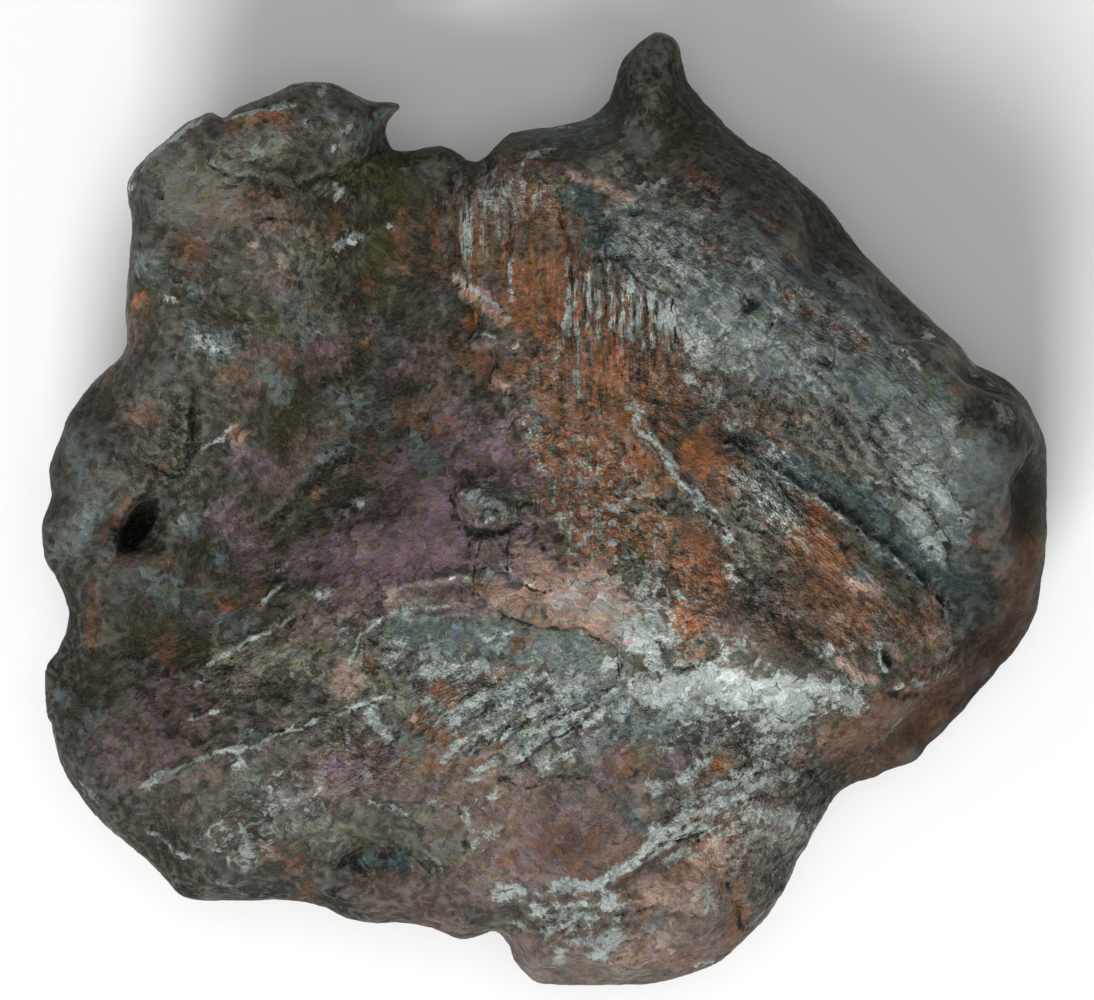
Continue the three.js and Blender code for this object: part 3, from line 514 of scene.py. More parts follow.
        (5.5, 1.1, 596, 957, 606, 947, 616, 934), (4.2, 0.95, 536, 910, 560, 920, 596, 916),
        (4.2, 0.85, 566, 941, 590, 940, 612, 930), (4.4, 1.0, 602, 905, 626, 902),
        (4.2, 0.8, 545, 930, 566, 927), (6, 0.6, 560, 956), (5, 0.7, 540, 895), (8, 0.7, 705, 890, 710, 905),
        (5, 0.7, 620, 976), (4, 0.8, 695, 966, 712, 960), (5, 0.6, 520, 925),
    ),
    Tint.DARK: (
        *along_lines(MAIN_LINES, (1.6, 0.8), aside=4.5),
        *tints_of(CRACKS),
        (4, 0.9, 262, 222), (2.6, 1.1, 182, 474, 198, 446, 195, 402), (1.6, 0.9, 176, 412, 182, 400),
        # the mark from 126, 540 to 152, 508 is painted shade inside the hole
        (12, 1.0, 126, 540, 139, 525, 152, 508), (2, 1.1, 152, 466, 172, 476),
        (1.6, 0.7, 360, 449, 375, 461, 400, 462), (2, 0.6, 425, 485, 440, 488, 452, 500),
        (1.6, 0.8, 583, 262, 584, 335), (1.6, 0.8, 604, 266, 605, 340), (1.6, 0.7, 647, 285, 647, 350),
        # the mark from 470, 352 to 495, 353 is a painted shadow under the nodule
        (3, 0.8, 470, 352, 495, 353), (5, 0.7, 635, 210), (8, 0.5, 600, 225), (8, 0.5, 680, 285),
        (2, 0.6, 512, 225, 508, 262), (4, 0.6, 520, 256), (30, 0.3, 600, 420, 660, 500),
        # the marks at 505, 394 and 500, 405 are painted shadows under the nodule above them
        (4, 0.8, 505, 394, 515, 399), (4, 0.7, 500, 405), (1.6, 0.7, 540, 405, 545, 438),
        # the marks from 456, 514 to 521, 508 and from 452, 494 to 456, 514 are painted shade in the groove
        # round the knob's foot
        (2, 0.6, 555, 385, 530, 395), (3.4, 1.4, 456, 514, 468, 532, 498, 536, 517, 522, 521, 508),
        (1.8, 1.2, 452, 494, 456, 514), (1.4, 1.0, 470, 504, 486, 512, 500, 510),
        (1.8, 1.0, 523, 506, 528, 497), (1.4, 0.8, 452, 492, 458, 500), (1.5, 1.1, 467, 535, 469, 556),
        (1.4, 1.0, 480, 540, 474, 562, 473, 584), (4, 0.8, 545, 548), (4, 0.8, 558, 538),
        (1.4, 0.8, 474, 586, 484, 600, 502, 616, 522, 625, 545, 631),
        (40, 0.34, 740, 390, 800, 410, 870, 440), (6, 0.8, 750, 302), (5, 0.6, 775, 320), (8, 0.7, 825, 362),
        (4, 0.6, 708, 275), (1.4, 0.7, 900, 470, 925, 462), (3, 0.7, 735, 440, 760, 455),
        (6, 0.8, 815, 478, 840, 500), (5, 0.6, 850, 510, 870, 520), (4, 0.9, 940, 600, 956, 616),
        (3, 0.7, 845, 545), (1.6, 0.9, 700, 515, 735, 530, 775, 530), (30, 0.3, 740, 500, 800, 590),
        (3, 1.0, 646, 497, 662, 506), (1.4, 0.8, 662, 506, 680, 509), (1.4, 0.7, 740, 527, 770, 532),
        (5, 1.0, 888, 653, 890, 666), (4, 0.7, 890, 695, 925, 695),
        (1.4, 0.8, 545, 631, 580, 630, 600, 641, 615, 655, 622, 677), (1.5, 0.7, 622, 675, 605, 690),
        (1.8, 1.0, 474, 752, 506, 730, 530, 718), (1.8, 1.0, 512, 770, 548, 742, 580, 726),
        (1.8, 1.0, 455, 730, 486, 712), (1.8, 1.0, 560, 716, 600, 698), (1.8, 0.9, 484, 712, 520, 696),
        (5, 0.5, 505, 655), (4, 0.7, 410, 685, 426, 700), (3, 0.7, 385, 660, 402, 676),
        # the mark from 338, 868 to 392, 856 and the first on the next line are painted shade in the pit under
        # the ledge
        (4, 0.9, 195, 896, 180, 888), (3.5, 0.9, 338, 868, 350, 859, 372, 853, 392, 856),
        (3, 0.8, 352, 868, 366, 862), (3, 0.9, 335, 888, 336, 902), (1.4, 0.7, 600, 845, 616, 843),
        (34, 0.34, 700, 740, 790, 760), (2.5, 1.0, 640, 860, 655, 850, 680, 838, 703, 834),
        (2.5, 1.0, 740, 802, 765, 795), (3, 0.8, 815, 755), (2, 0.7, 620, 915, 640, 910, 660, 905),
        (2.4, 1.1, 724, 884, 736, 905, 742, 930),
    ),
}

# The stretches of rim where the light falls, which get no painted shade on their walls.
LIT_RIM: Marks = (
    (30, 0.6, 190, 130, 130, 200), (40, 0.7, 200, 900, 300, 905), (44, 0.8, 400, 920, 480, 930),
    (64, 1.0, 540, 960, 640, 985, 720, 950),
)

# ---- where the skin is granular, and where it is drawn out in lines ------------------------------
GRAIN: dict[Texture, Marks] = {
    Texture.ROUGH: (
        (20, 0.7, 180, 420, 180, 460), (24, 0.6, 500, 200, 540, 200), (34, 0.6, 560, 450, 620, 500, 660, 560),
        (24, 0.8, 650, 360, 670, 400), (20, 0.6, 540, 360, 560, 390), (20, 1.3, 484, 502, 500, 508),
        (34, 1.0, 760, 410, 830, 430, 890, 440), (24, 1.0, 700, 360, 720, 400), (30, 0.7, 640, 250, 700, 260),
        (30, 0.7, 820, 340, 860, 340), (30, 0.5, 640, 210, 700, 220), (30, 1.0, 760, 480, 790, 520),
        (26, 0.8, 740, 570, 780, 610), (24, 0.8, 690, 640, 700, 600), (30, 0.5, 840, 600, 900, 640),
        (20, 0.7, 830, 700, 850, 680), (26, 0.45, 420, 690, 500, 690, 580, 700),
        (34, 0.5, 450, 730, 540, 730, 620, 710), (26, 0.7, 380, 640, 380, 680), (26, 0.3, 230, 680, 280, 690),
        (30, 0.6, 330, 740, 380, 760), (26, 0.7, 720, 745, 790, 745), (26, 0.6, 700, 800, 740, 820),
        (30, 0.9, 740, 850, 770, 870), (20, 0.7, 800, 770, 800, 800), (24, 0.45, 560, 915, 610, 935),
    ),
    Texture.CALM: (
        (24, 0.9, 640, 140), (36, 1.2, 190, 188), (30, 0.6, 420, 180, 400, 250),
        (30, 0.6, 300, 380, 260, 440), (30, 0.5, 240, 520, 300, 440), (30, 0.8, 85, 440, 80, 520),
        (34, 1.0, 380, 560, 430, 540, 440, 480), (20, 0.6, 490, 300), (20, 0.9, 690, 455),
        (16, 0.9, 880, 382), (16, 1.0, 715, 315, 745, 320), (12, 0.8, 790, 330),
        (15, 1.0, 903, 512, 935, 548), (12, 0.95, 925, 480, 952, 508), (14, 0.9, 890, 470),
        (26, 1.0, 985, 470), (24, 0.7, 930, 415), (24, 0.6, 870, 590),
        (36, 1.0, 1015, 470, 1022, 580, 985, 685, 920, 748), (22, 1.0, 550, 600, 600, 610),
        (30, 1.0, 680, 686, 750, 690, 800, 690), (14, 0.8, 415, 636, 480, 643, 555, 650),
        (34, 0.7, 130, 590, 200, 580), (30, 0.6, 100, 700, 170, 730), (34, 0.8, 540, 830, 590, 840),
        (30, 0.5, 680, 880),
    ),
    Texture.SHEAR: (
        (16, 0.6, 425, 515, 430, 550), (22, 0.8, 470, 190, 468, 270), (30, 0.8, 510, 190, 520, 260),
        (34, 1.0, 570, 270, 575, 340), (34, 1.0, 620, 300, 625, 350), (22, 1.0, 655, 310, 660, 345),
        (30, 0.8, 578, 350, 582, 400), (34, 0.3, 560, 420, 600, 500), (26, 0.5, 640, 400, 650, 460),
        (16, 0.5, 470, 545), (30, 0.4, 540, 500, 600, 550), (30, 0.4, 640, 540, 690, 570),
    ),
    Texture.DRAG: (
        (40, 0.6, 230, 560, 300, 480, 360, 400), (30, 0.8, 680, 690, 760, 690),
        (34, 1.0, 480, 760, 540, 720, 590, 690), (24, 0.9, 430, 720, 480, 690), (20, 0.8, 560, 760, 620, 740),
        (34, 0.45, 180, 790, 240, 750, 330, 720), (34, 0.4, 200, 700, 300, 640, 360, 590),
        (34, 0.6, 120, 720, 160, 660), (30, 0.6, 220, 820, 320, 790, 400, 760), (24, 0.6, 470, 830, 510, 830),
        (24, 0.9, 650, 840, 700, 800), (24, 0.8, 740, 790, 790, 780), (30, 0.5, 700, 870, 760, 830),
        (26, 0.7, 560, 920, 620, 930),
    ),
    Texture.FALL: (
        (26, 0.7, 700, 180, 800, 260, 900, 340), (24, 0.5, 620, 160, 660, 200), (20, 0.7, 640, 410, 700, 500),
        (40, 1.0, 660, 250, 730, 300, 800, 350, 870, 420), (34, 1.0, 760, 280, 850, 340, 920, 400),
        (30, 0.5, 700, 380, 780, 430), (34, 1.0, 900, 460, 940, 520), (26, 0.8, 740, 440, 830, 470),
        (26, 0.7, 760, 500, 850, 570, 900, 620), (24, 0.6, 830, 650, 880, 695),
    ),
}


@dataclass(frozen=True)
class Flow:
    """How one kind of drawn line runs.

    Attributes:
        angle: in degrees, clockwise on the plan from its x.
        spacing: from line to line, in plan units.
        length: of a line, in spacings.
        depth: of the relief, as a share.
        steps: how closely its flakes follow one another.
    """

    angle: float
    spacing: float
    length: float
    depth: float
    steps: float


FLOW: dict[Texture, Flow] = {
    Texture.SHEAR: Flow(90, 11, 7.0, 1.0, 0.9),
    Texture.DRAG: Flow(-34, 14, 3.2, 1.1, 1.5),
    Texture.FALL: Flow(42, 16, 2.6, 1.0, 1.5),
}

# ---- the forms: height in mm (down is negative), half width, then x, y along the form ------------
FOLDS: Marks = (
    *along_lines(MAIN_LINES, (0.27, 3.6)),
    *forms_of(CRACKS),
    *forms_of(CRESTS),
    (0.42, 5, 215, 122, 250, 117, 285, 107), (-1.1, 4.5, 181, 474, 199, 444, 195, 398),
    (1.0, 7, 174, 462, 186, 430, 183, 394), (0.24, 4, 205, 450, 235, 424), (0.36, 7, 312, 462, 345, 444),
    (0.8, 6, 104, 562, 112, 530, 128, 502, 152, 474), (0.3, 5, 457, 172, 466, 235, 470, 275),
    (-0.33, 4, 508, 185, 512, 225, 506, 262), (0.36, 5, 520, 176, 525, 160, 552, 148),
    (-0.28, 4, 670, 300, 673, 345), (-0.44, 4, 456, 500, 458, 521, 470, 534, 500, 529, 516, 515, 521, 498),
    (-0.17, 2.5, 467, 535, 468, 562), (-0.17, 2.5, 478, 545, 474, 574),
    (-0.3, 3, 900, 470, 925, 462, 945, 470), (0.36, 6, 730, 447, 775, 470, 830, 508),
    (0.36, 5, 830, 508, 870, 538, 935, 595), (0.3, 5, 740, 452, 768, 505), (-0.44, 4, 644, 496, 664, 507),
    (0.21, 6, 635, 402, 668, 465, 690, 495, 705, 530, 722, 548), (-0.44, 6, 890, 697, 930, 694),
    (-0.28, 3, 600, 638, 615, 652, 622, 675, 605, 690), (0.3, 4, 375, 594, 400, 587, 430, 581, 465, 578),
    (0.42, 5, 352, 656, 375, 622, 392, 612), (0.3, 4, 400, 620, 472, 612),
    (0.48, 5, 150, 786, 182, 772, 222, 750), (0.3, 4, 222, 750, 262, 745, 302, 735),
    (0.24, 3.5, 190, 722, 232, 702), (0.24, 3.5, 330, 722, 370, 696, 392, 692),
    (0.36, 4, 205, 663, 250, 636, 268, 632), (0.3, 4, 266, 600, 286, 581), (0.3, 4, 150, 830, 192, 859),
    (0.3, 4, 220, 882, 246, 895), (0.24, 3, 372, 802, 406, 815),
    (-0.7, 5, 336, 868, 350, 858, 372, 852, 405, 852), (-0.39, 3, 642, 860, 655, 850, 680, 838, 703, 834),
    (-0.77, 5, 640, 862, 680, 840, 705, 836), (-0.66, 5, 738, 803, 768, 794),
    (0.9, 9, 602, 885, 634, 863, 656, 837, 690, 815, 745, 795), (-0.39, 4, 620, 915, 640, 910, 662, 904),
    (-0.44, 5, 735, 893, 746, 928),
)

# ---- ledges: drop in mm, reach, then x, y; walking along the line the right-hand side is lower ---
LEDGES: Marks = (
    (0.5, 10, 205, 162, 230, 178, 262, 178, 300, 186, 350, 170), (1.0, 12, 452, 172, 462, 235, 466, 280),
    (0.5, 9, 640, 258, 600, 262, 560, 290), (0.8, 12, 466, 280, 486, 340, 503, 400, 520, 440, 545, 475),
    (0.9, 12, 378, 589, 430, 581, 470, 582, 480, 595, 500, 613, 520, 622, 545, 628, 580, 626, 600, 638, 622,
        660), (0.6, 10, 508, 532, 507, 565, 515, 580, 530, 589, 546, 592),
    (1.0, 19, 956, 622, 920, 580, 880, 545, 845, 518, 800, 486, 765, 466, 730, 447),
    (0.5, 9, 330, 860, 360, 848, 395, 847, 425, 858), (0.8, 12, 600, 888, 645, 862, 705, 836, 768, 794),
)

# ---- knobs and pits: height in mm, long and short half axes, turn in degrees, x, y ---------------
KNOBS: Marks = (
    (0.5, 12, 8, 0, 928, 336), (0.5, 16, 9, 35, 840, 284), (0.5, 16, 10, 0, 335, 190),
    (-0.5, 14, 9, -20, 262, 220), (-3.0, 25, 11, -58, 138, 526), (-0.5, 14, 10, 0, 163, 468),
    (0.4, 8, 5, 0, 358, 502), (0.6, 14, 9, 0, 480, 343), (-0.6, 9, 6, 0, 635, 210),
    (-0.5, 20, 12, -30, 600, 232), (0.5, 12, 11, 0, 498, 378), (0.5, 11, 9, 0, 502, 398),
    (1.2, 20, 12, 8, 479, 500), (1.1, 17, 11, 48, 498, 512), (0.6, 12, 6, -35, 468, 493),
    (0.5, 9, 5, 25, 503, 497), (-0.4, 9, 3, -35, 484, 512), (-0.5, 30, 7, -12, 490, 531),
    (0.5, 26, 15, -20, 535, 550), (-0.25, 6, 5, 0, 545, 548), (-0.25, 6, 5, 0, 558, 538),
    (-0.9, 12, 9, 0, 750, 302), (-0.6, 9, 7, 0, 775, 320), (-0.7, 12, 9, 30, 825, 362),
    (-0.5, 7, 5, 0, 708, 275), (0.6, 30, 14, -35, 920, 525), (-0.6, 5, 5, 0, 845, 545),
    (-1.0, 9, 6, 70, 888, 658), (0.5, 20, 9, -10, 655, 722), (-0.5, 10, 8, 0, 505, 655),
    (-0.8, 12, 9, 0, 370, 665), (0.5, 14, 9, -20, 160, 780), (0.4, 8, 6, 0, 318, 592),
    (0.5, 12, 16, 0, 248, 848), (-0.8, 16, 8, 30, 190, 893), (0.6, 18, 12, -30, 680, 826),
)

# ---- where the colour is darkened (-) or lightened (+), partly tone and partly painted shade and light: half width, stops, x, y ---
PAINTED_LIGHT_AND_TONE: Marks = (
    (40, -0.7, 640, 50, 720, 140, 780, 180, 850, 240), (28, 0.6, 930, 360), (36, -0.45, 220, 235, 160, 235),
    (30, -0.9, 430, 165, 470, 150), (34, -0.4, 285, 300), (34, 0.8, 150, 310, 225, 305),
    (30, 0.5, 290, 235, 350, 240), (30, 0.5, 290, 420), (40, -0.35, 350, 370, 400, 420, 430, 380),
    # the mark at 128, 536 is painted shade on the walls of the hole
    (34, -0.35, 290, 480, 230, 470), (14, -2.0, 128, 536, 150, 510),
    (30, -0.6, 80, 420, 60, 500, 60, 560, 90, 600), (36, 0.45, 350, 545, 430, 545),
    (36, 0.5, 500, 280, 570, 300, 640, 300), (30, 0.6, 570, 180, 630, 170),
    (44, 0.5, 600, 400, 640, 480, 660, 550), (34, 0.6, 505, 440, 520, 470), (30, 0.5, 480, 465, 500, 490),
    (34, 0.25, 430, 600, 500, 610), (36, -0.45, 720, 240, 790, 280, 840, 250), (34, -0.3, 780, 370, 850, 370),
    # the next three lines hold painted shade on the right rim, where it faces away from the light, and
    # painted light on the facet under the dark valley
    (16, -0.7, 995, 385, 1016, 440, 1020, 520), (36, -0.9, 985, 480, 990, 570),
    (38, 1.1, 770, 490, 810, 545, 850, 575), (36, -0.6, 1050, 470, 1046, 560, 1010, 650),
    (40, -1.9, 998, 645, 980, 690), (40, -1.5, 940, 735, 870, 785), (34, 0.25, 880, 630, 920, 650),
    (40, 0.5, 560, 560, 640, 590, 710, 600), (30, -0.3, 780, 665), (36, 0.6, 700, 610, 730, 670, 850, 670),
    (36, 0.4, 490, 720, 570, 720), (38, -0.6, 220, 590, 150, 660), (34, -0.5, 60, 640, 60, 720),
    (36, 0.6, 225, 670, 215, 730), (34, 0.4, 290, 670, 310, 730),
    (34, -0.75, 84, 790, 150, 836, 190, 890, 300, 910, 440, 915), (34, -0.3, 300, 850, 280, 900),
    (36, -0.35, 430, 850, 440, 910, 360, 910), (30, -0.2, 570, 790, 560, 850), (30, 0.2, 720, 770, 720, 840),
    (40, -0.3, 540, 965, 640, 970, 730, 960),
)

# ---- where the rim juts out or is chipped: step right and down in mm, half width, x, y -----------
RIM: Marks = (
    (0.0, -0.5, 14, 655, 36), (1.6, -0.2, 9, 389, 107), (0.1, 1.0, 7, 224, 117), (-0.3, -0.4, 8, 211, 110),
    (-0.3, 0.0, 9, 392, 134), (0.5, 0.5, 14, 908, 752), (0.0, 0.6, 36, 540, 980, 700, 980),
)


class Plan:
    """The plan of the torn face, drawn as seen from a point straight above it."""

    UNIT = 0.12 * MM
    MIDDLE = (547.0, 500.0)
    EYE = Vector((0.36 * MM, 1.08 * MM, 746 * MM))
    RIM_HEIGHT = 17 * MM

    @classmethod
    def of(cls, points: Array) -> Array:
        """Places points of the stone on the plan.

        Args:
            points: one row for each point, in metres.

        Returns:
            One row of plan x and y for each point.
        """
        spread = (cls.EYE.z - cls.RIM_HEIGHT) / (cls.EYE.z - points[:, 2]) / cls.UNIT
        across = cls.MIDDLE[0] + (points[:, 0] - cls.EYE.x) * spread
        down = cls.MIDDLE[1] - (points[:, 1] - cls.EYE.y) * spread
        return np.stack([across, down], axis=1)


class Noise:
    """Smooth seeded noise in space, about -1 to 1."""

    SLOPES = 256  # a power of two
    LIFT = 1.6  # brings the noise to about -1 to 1
    SWELL_SHIFT = 17.3  # between one size of swell and the next
    RIDGE_SHIFT = 31.7  # between one size of ridge and the next

    def __init__(self, seed: int) -> None:
        """Draws the slopes that the noise follows.

        Args:
            seed: of the draw.
        """
        draw = np.random.default_rng(seed)
        self.order = np.tile(draw.permutation(self.SLOPES), 2)
        slopes = draw.normal(size=(self.SLOPES, 3))
        self.slopes = slopes / np.linalg.norm(slopes, axis=1, keepdims=True)

    def at(self, points: Array, size: float) -> Array:
        """The noise at some points.

        Args:
            points: one row of three for each point.
            size: width of one swell, in the points' own unit.

        Returns:
            One value for each point.
        """
        cell = points / size
        low = np.floor(cell).astype(int)
        part = cell - low
        eased = part**3 * (part * (part * 6 - 15) + 10)
        total = np.zeros(len(points))
        for corner in itertools.product((0, 1), repeat=3):
            step = np.array(corner)
            i, j, k = ((low + step) & (self.SLOPES - 1)).T
            slope = self.slopes[self.order[self.order[self.order[i] + j] + k]]
            weight = np.prod(np.where(step, eased, 1 - eased), axis=1)
            total += weight * np.sum(slope * (part - step), axis=1)
        return self.LIFT * total

    def swells(self, points: Array, size: float, octaves: int = 3) -> Array:
        """Noise in several sizes, each half as wide and half as high as the one before."""
        return sum(self.at(points + self.SWELL_SHIFT * n, size / 2**n) / 2**n for n in range(octaves))

    def ridges(self, points: Array, size: float, octaves: int = 2) -> Array:
        """Sharp crests with rounded hollows between them.

        Args:
            points: one row of three for each point.
            size: width of the broadest hollow.
            octaves: how many sizes.

        Returns:
            0 to 1 for each point.
        """
        total = np.zeros(len(points))
        for n in range(octaves):
            hollow = np.abs(self.at(points + self.RIDGE_SHIFT * n, size / 2**n))
            total += (1 - hollow) ** 2 / 2**n
        return total / (2 - 2 ** (1 - octaves))


@dataclass(frozen=True)
class Beside:
    """Where points lie beside a mark.

    Attributes:
        distance: from the nearest spot on it, in plan units.
        side: how far to its left (+) or right (-), in plan units.
        along: the share of its length at that spot.
    """

    distance: Array
    side: Array
    along: Array

    @classmethod
    def line(cls, points: Array, corners: Array) -> Beside:
        """Measures points against a line of corners.

        Args:
            points: one row of plan x and y for each point.
            corners: one row of plan x and y for each corner; a single corner is a dot.

        Returns:
            The measures, one of each for each point.
        """
        if len(corners) == 1:
            corners = np.repeat(corners, 2, axis=0)
        best = np.full(len(points), np.inf)
        side = np.zeros(len(points))
        along = np.full(len(points), 0.5)
        for i, (start, end) in enumerate(zip(corners[:-1], corners[1:])):
            edge = end - start
            length = max(float(edge @ edge), 1e-9)
            share = np.clip((points - start) @ edge / length, 0, 1)
            gap = points - start - share[:, None] * edge
            squared = np.sum(gap * gap, axis=1)
            nearer = squared < best
            best[nearer] = squared[nearer]
            cross = edge[1] * (points[:, 0] - start[0]) - edge[0] * (points[:, 1] - start[1])
            side[nearer] = (cross / math.sqrt(length))[nearer]
            along[nearer] = ((i + share) / (len(corners) - 1))[nearer]
        return cls(np.sqrt(best), side, along)

    def fade(self, reach: float) -> Array:
        """How much of a form of some half width is left: it thins out sideways and to its ends."""
        taper = np.sqrt(np.sin(np.pi * np.clip(self.along, 0.03, 0.97)))
        return taper * np.exp(-((self.distance / reach) ** 2))


def marks_near(points: Array, mark: tuple[float, ...], head: int, reach: float) -> tuple[Array, Beside]:
    """Finds the points close enough to a mark to matter, and measures them against it.

    Args:
        points: one row of plan x and y for each point.
        mark: its leading values, then x, y along it.
        head: how many leading values the mark has.
        reach: how far the mark acts, in plan units.

    Returns:
        The indices of those points, and where they lie beside the mark.
    """
    corners = np.array(mark[head:], float).reshape(-1, 2)
    low, high = corners.min(axis=0) - reach, corners.max(axis=0) + reach
    near = np.nonzero(np.all((points >= low) & (points <= high), axis=1))[0]
    return near, Beside.line(points[near], corners)


def coverage(plan: Array, marks: Marks, join: np.ufunc = np.maximum) -> Array:
    """How strongly a list of marks covers each point: half of its strength at its half width.

    Args:
        plan: one row of plan x and y for each point.
        marks: half width, strength, then x, y along each mark.
        join: what becomes of marks that lie over each other.

    Returns:
        One value for each point.
    """
    cover = np.zeros(len(plan))
    for mark in marks:
        width, strength = mark[:2]
        near, beside = marks_near(plan, mark, 2, 2.4 * width + 2)
        share = np.exp(-0.69 * (beside.distance / width) ** 2)
        cover[near] = join(cover[near], strength * share)
    return cover


def ease(low: float, high: float, value: Array) -> Array:
    """A smooth step, from 0 where the value is low to 1 where it is high."""
    share = np.clip((value - low) / (high - low), 0, 1)
    return share * share * (3 - 2 * share)


def flakes(value: Array, steps: float) -> Array:
    """Turns smooth swells into overlapping flakes, each rising slowly and breaking off at once.

    Args:
        value: the swells, about -1 to 1.
        steps: how many flakes one unit of swell holds.

    Returns:
        About -0.5 to 0.5 for each point.
    """
    phase = value * steps
    part = phase - np.floor(phase)
    return part - ease(0.80, 1.0, part) - 0.4


def deselect_all() -> None:
    """Leaves nothing selected, so that an operator acts on one piece only."""
    bpy.ops.object.select_all(action="DESELECT")


def make_active(piece: bpy.types.Object) -> None:
    """Selects one piece alone and makes it the active one.

    Args:
        piece: to select.
    """
    deselect_all()
    piece.select_set(True)
    bpy.context.view_layer.objects.active = piece


@dataclass(frozen=True)
class Layer:
    """One layer of the carved relief.

    Attributes:
        size: width of its broadest swell, in millimetres.
        height: in millimetres.
        octaves: how many sizes of swell it holds.
        shift: where in the noise it is read, in millimetres.
    """

    size: float
    height: float
    octaves: int
    shift: float = 0.0


@dataclass
class Stone:
    """The meteorite's skin, refined, carved and tinted.

    Attributes:
        node: the solid that it stands for.
        body: the body that it rides on.
        slot: not used.
        seed: of all its noise.
        facing_up: least upward slope of a face that counts as the torn upper face.
        fine_width: greatest half width of a mark that is drawn finely, in plan units.
        fine_strength: least strength at which a fine mark asks for finer faces.
        fine_reach: how far beside a mark the faces are refined, in plan units.
        crust: the rounded crust.
        grit: the finer swells in the crust.
        scales: the flakes that lie over each other.
        scale_steps: how closely those flakes follow one another.
        dents: the slow dents between the forms.
        walls: the crust on the walls and the underside.
        line_height: height of the drawn lines, in millimetres.
        lap_height: height of the flakes along the drawn lines, in millimetres.
        swirl: how far the grain drifts, in millimetres.
        settle: height over the floor within which the carving fades out, in metres.
        warp: how far the edge of a broad mark strays, in plan units.
        bow: how far a fine line strays in slow bends, in plan units.
        kink: how far it strays in short ones.
        hollow_depth: depth beside its neighbours of a full hollow, in metres.
        crest_height: of a full crest in the grain, in millimetres.
        ledge_width: half width of the steep part of a ledge, in plan units.
    """

    node: str = "meteorite"
    body: str = "root"
    slot: str = "patina"
    seed: int = 1299
    facing_up: float = -0.15
    fine_width: float = 4.0
    fine_strength: float = 0.8
    fine_reach: float = 3.8
    crust: Layer = Layer(2.4, 0.18, 2)
    grit: Layer = Layer(1.3, 0.09, 2, 50)
    scales: Layer = Layer(6.0, 0.34, 3, 20)
    scale_steps: float = 2.6
    dents: Layer = Layer(7.0, 0.30, 2)
    walls: Layer = Layer(5.0, 0.16, 3, 20)
    line_height: float = 0.30
    lap_height: float = 0.42
    swirl: float = 1.6
    settle: float = 1.2 * MM
    warp: float = 6.0
    bow: float = 3.4
    kink: float = 2.2
    hollow_depth: float = 0.05 * MM
    crest_height: float = 0.22
    ledge_width: float = 3.2
    piece: bpy.types.Object = field(init=False)

    def build(self) -> bpy.types.Object:
        """Makes the skin from the solid, carves it and tints it.

        Returns:
            The finished piece.
        """
        self.piece = self._blank()
        self._round_off()
        self._refine(self._faces_up())
        self._refine(self._faces_near_marks())
        self._carve()
        self._tint()
        self.piece.data.materials.append(Patina().material())
        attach(self.piece, self.body)
        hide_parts(self.node)
        return self.piece

    def _blank(self) -> bpy.types.Object:
        """Takes a merged copy of the solid.

        Returns:
            The copy, as a piece of its own.
        """
        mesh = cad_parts[self.node].data.copy()
        mesh.materials.clear()
        piece = bpy.data.objects.new("torn_skin", mesh)
        bpy.context.scene.collection.objects.link(piece)
        make_active(piece)
        bpy.ops.object.mode_set(mode="EDIT")
        bpy.ops.mesh.select_all(action="SELECT")
        bpy.ops.mesh.remove_doubles(threshold=1e-7)
        bpy.ops.object.mode_set(mode="OBJECT")
        return piece

    def _round_off(self) -> None:
        """Rounds the solid's facets."""
        rounding = self.piece.modifiers.new("round_off", "SUBSURF")
        rounding.levels = 1
        rounding.render_levels = 1
        bpy.ops.object.modifier_apply(modifier=rounding.name)

    def _read(self, places: bpy.types.bpy_prop_collection, name: str) -> Array:
        """Reads the places and normals of corners or of faces.

        Args:
            places: the corners or the faces.
            name: of what is read: co, center or normal.

        Returns:
            One row of three for each of them.
        """
        values = np.zeros(3 * len(places))
        places.foreach_get(name, values)
        return values.reshape(-1, 3)

    def _faces_up(self) -> Array:
        """Which faces belong to the torn upper face."""
        return self._read(self.piece.data.polygons, "normal")[:, 2] > self.facing_up

    def _faces_near_marks(self) -> Array:
        """Finds the upper faces that lie on a fine line, a fold, a ledge or a knob.

        Returns:
            One truth for each face.
        """
        faces = self.piece.data.polygons
        plan = Plan.of(self._read(faces, "center"))
        wanted = np.zeros(len(plan), bool)
        painted = itertools.chain.from_iterable(PAINT.values())
        fine = (mark for mark in painted if mark[0] <= self.fine_width and mark[1] >= self.fine_strength)
        for mark in itertools.chain(fine, FOLDS, LEDGES):
            near, beside = marks_near(plan, mark, 2, self.fine_reach)
            wanted[near] |= beside.distance < self.fine_reach
        for mark in KNOBS:
            near, beside = marks_near(plan, mark, 4, mark[1])
            wanted[near] |= beside.distance < 0.8 * mark[1]
        return wanted & (self._read(faces, "normal")[:, 2] > 0.1)

    def _refine(self, wanted: Array) -> None:
        """Cuts the wanted faces into four.

        Args:
            wanted: one truth for each face.
        """
        mesh = self.piece.data
        make_active(self.piece)
        bpy.ops.object.mode_set(mode="EDIT")
        bpy.ops.mesh.select_mode(type="FACE")
        bpy.ops.mesh.select_all(action="DESELECT")
        bpy.ops.object.mode_set(mode="OBJECT")
        mesh.polygons.foreach_set("select", wanted)
        bpy.ops.object.mode_set(mode="EDIT")
        bpy.ops.mesh.subdivide(number_cuts=1, smoothness=0.5)
        bpy.ops.mesh.select_all(action="SELECT")
        bpy.ops.mesh.quads_convert_to_tris(quad_method="SHORTEST_DIAGONAL")
        bpy.ops.object.mode_set(mode="OBJECT")

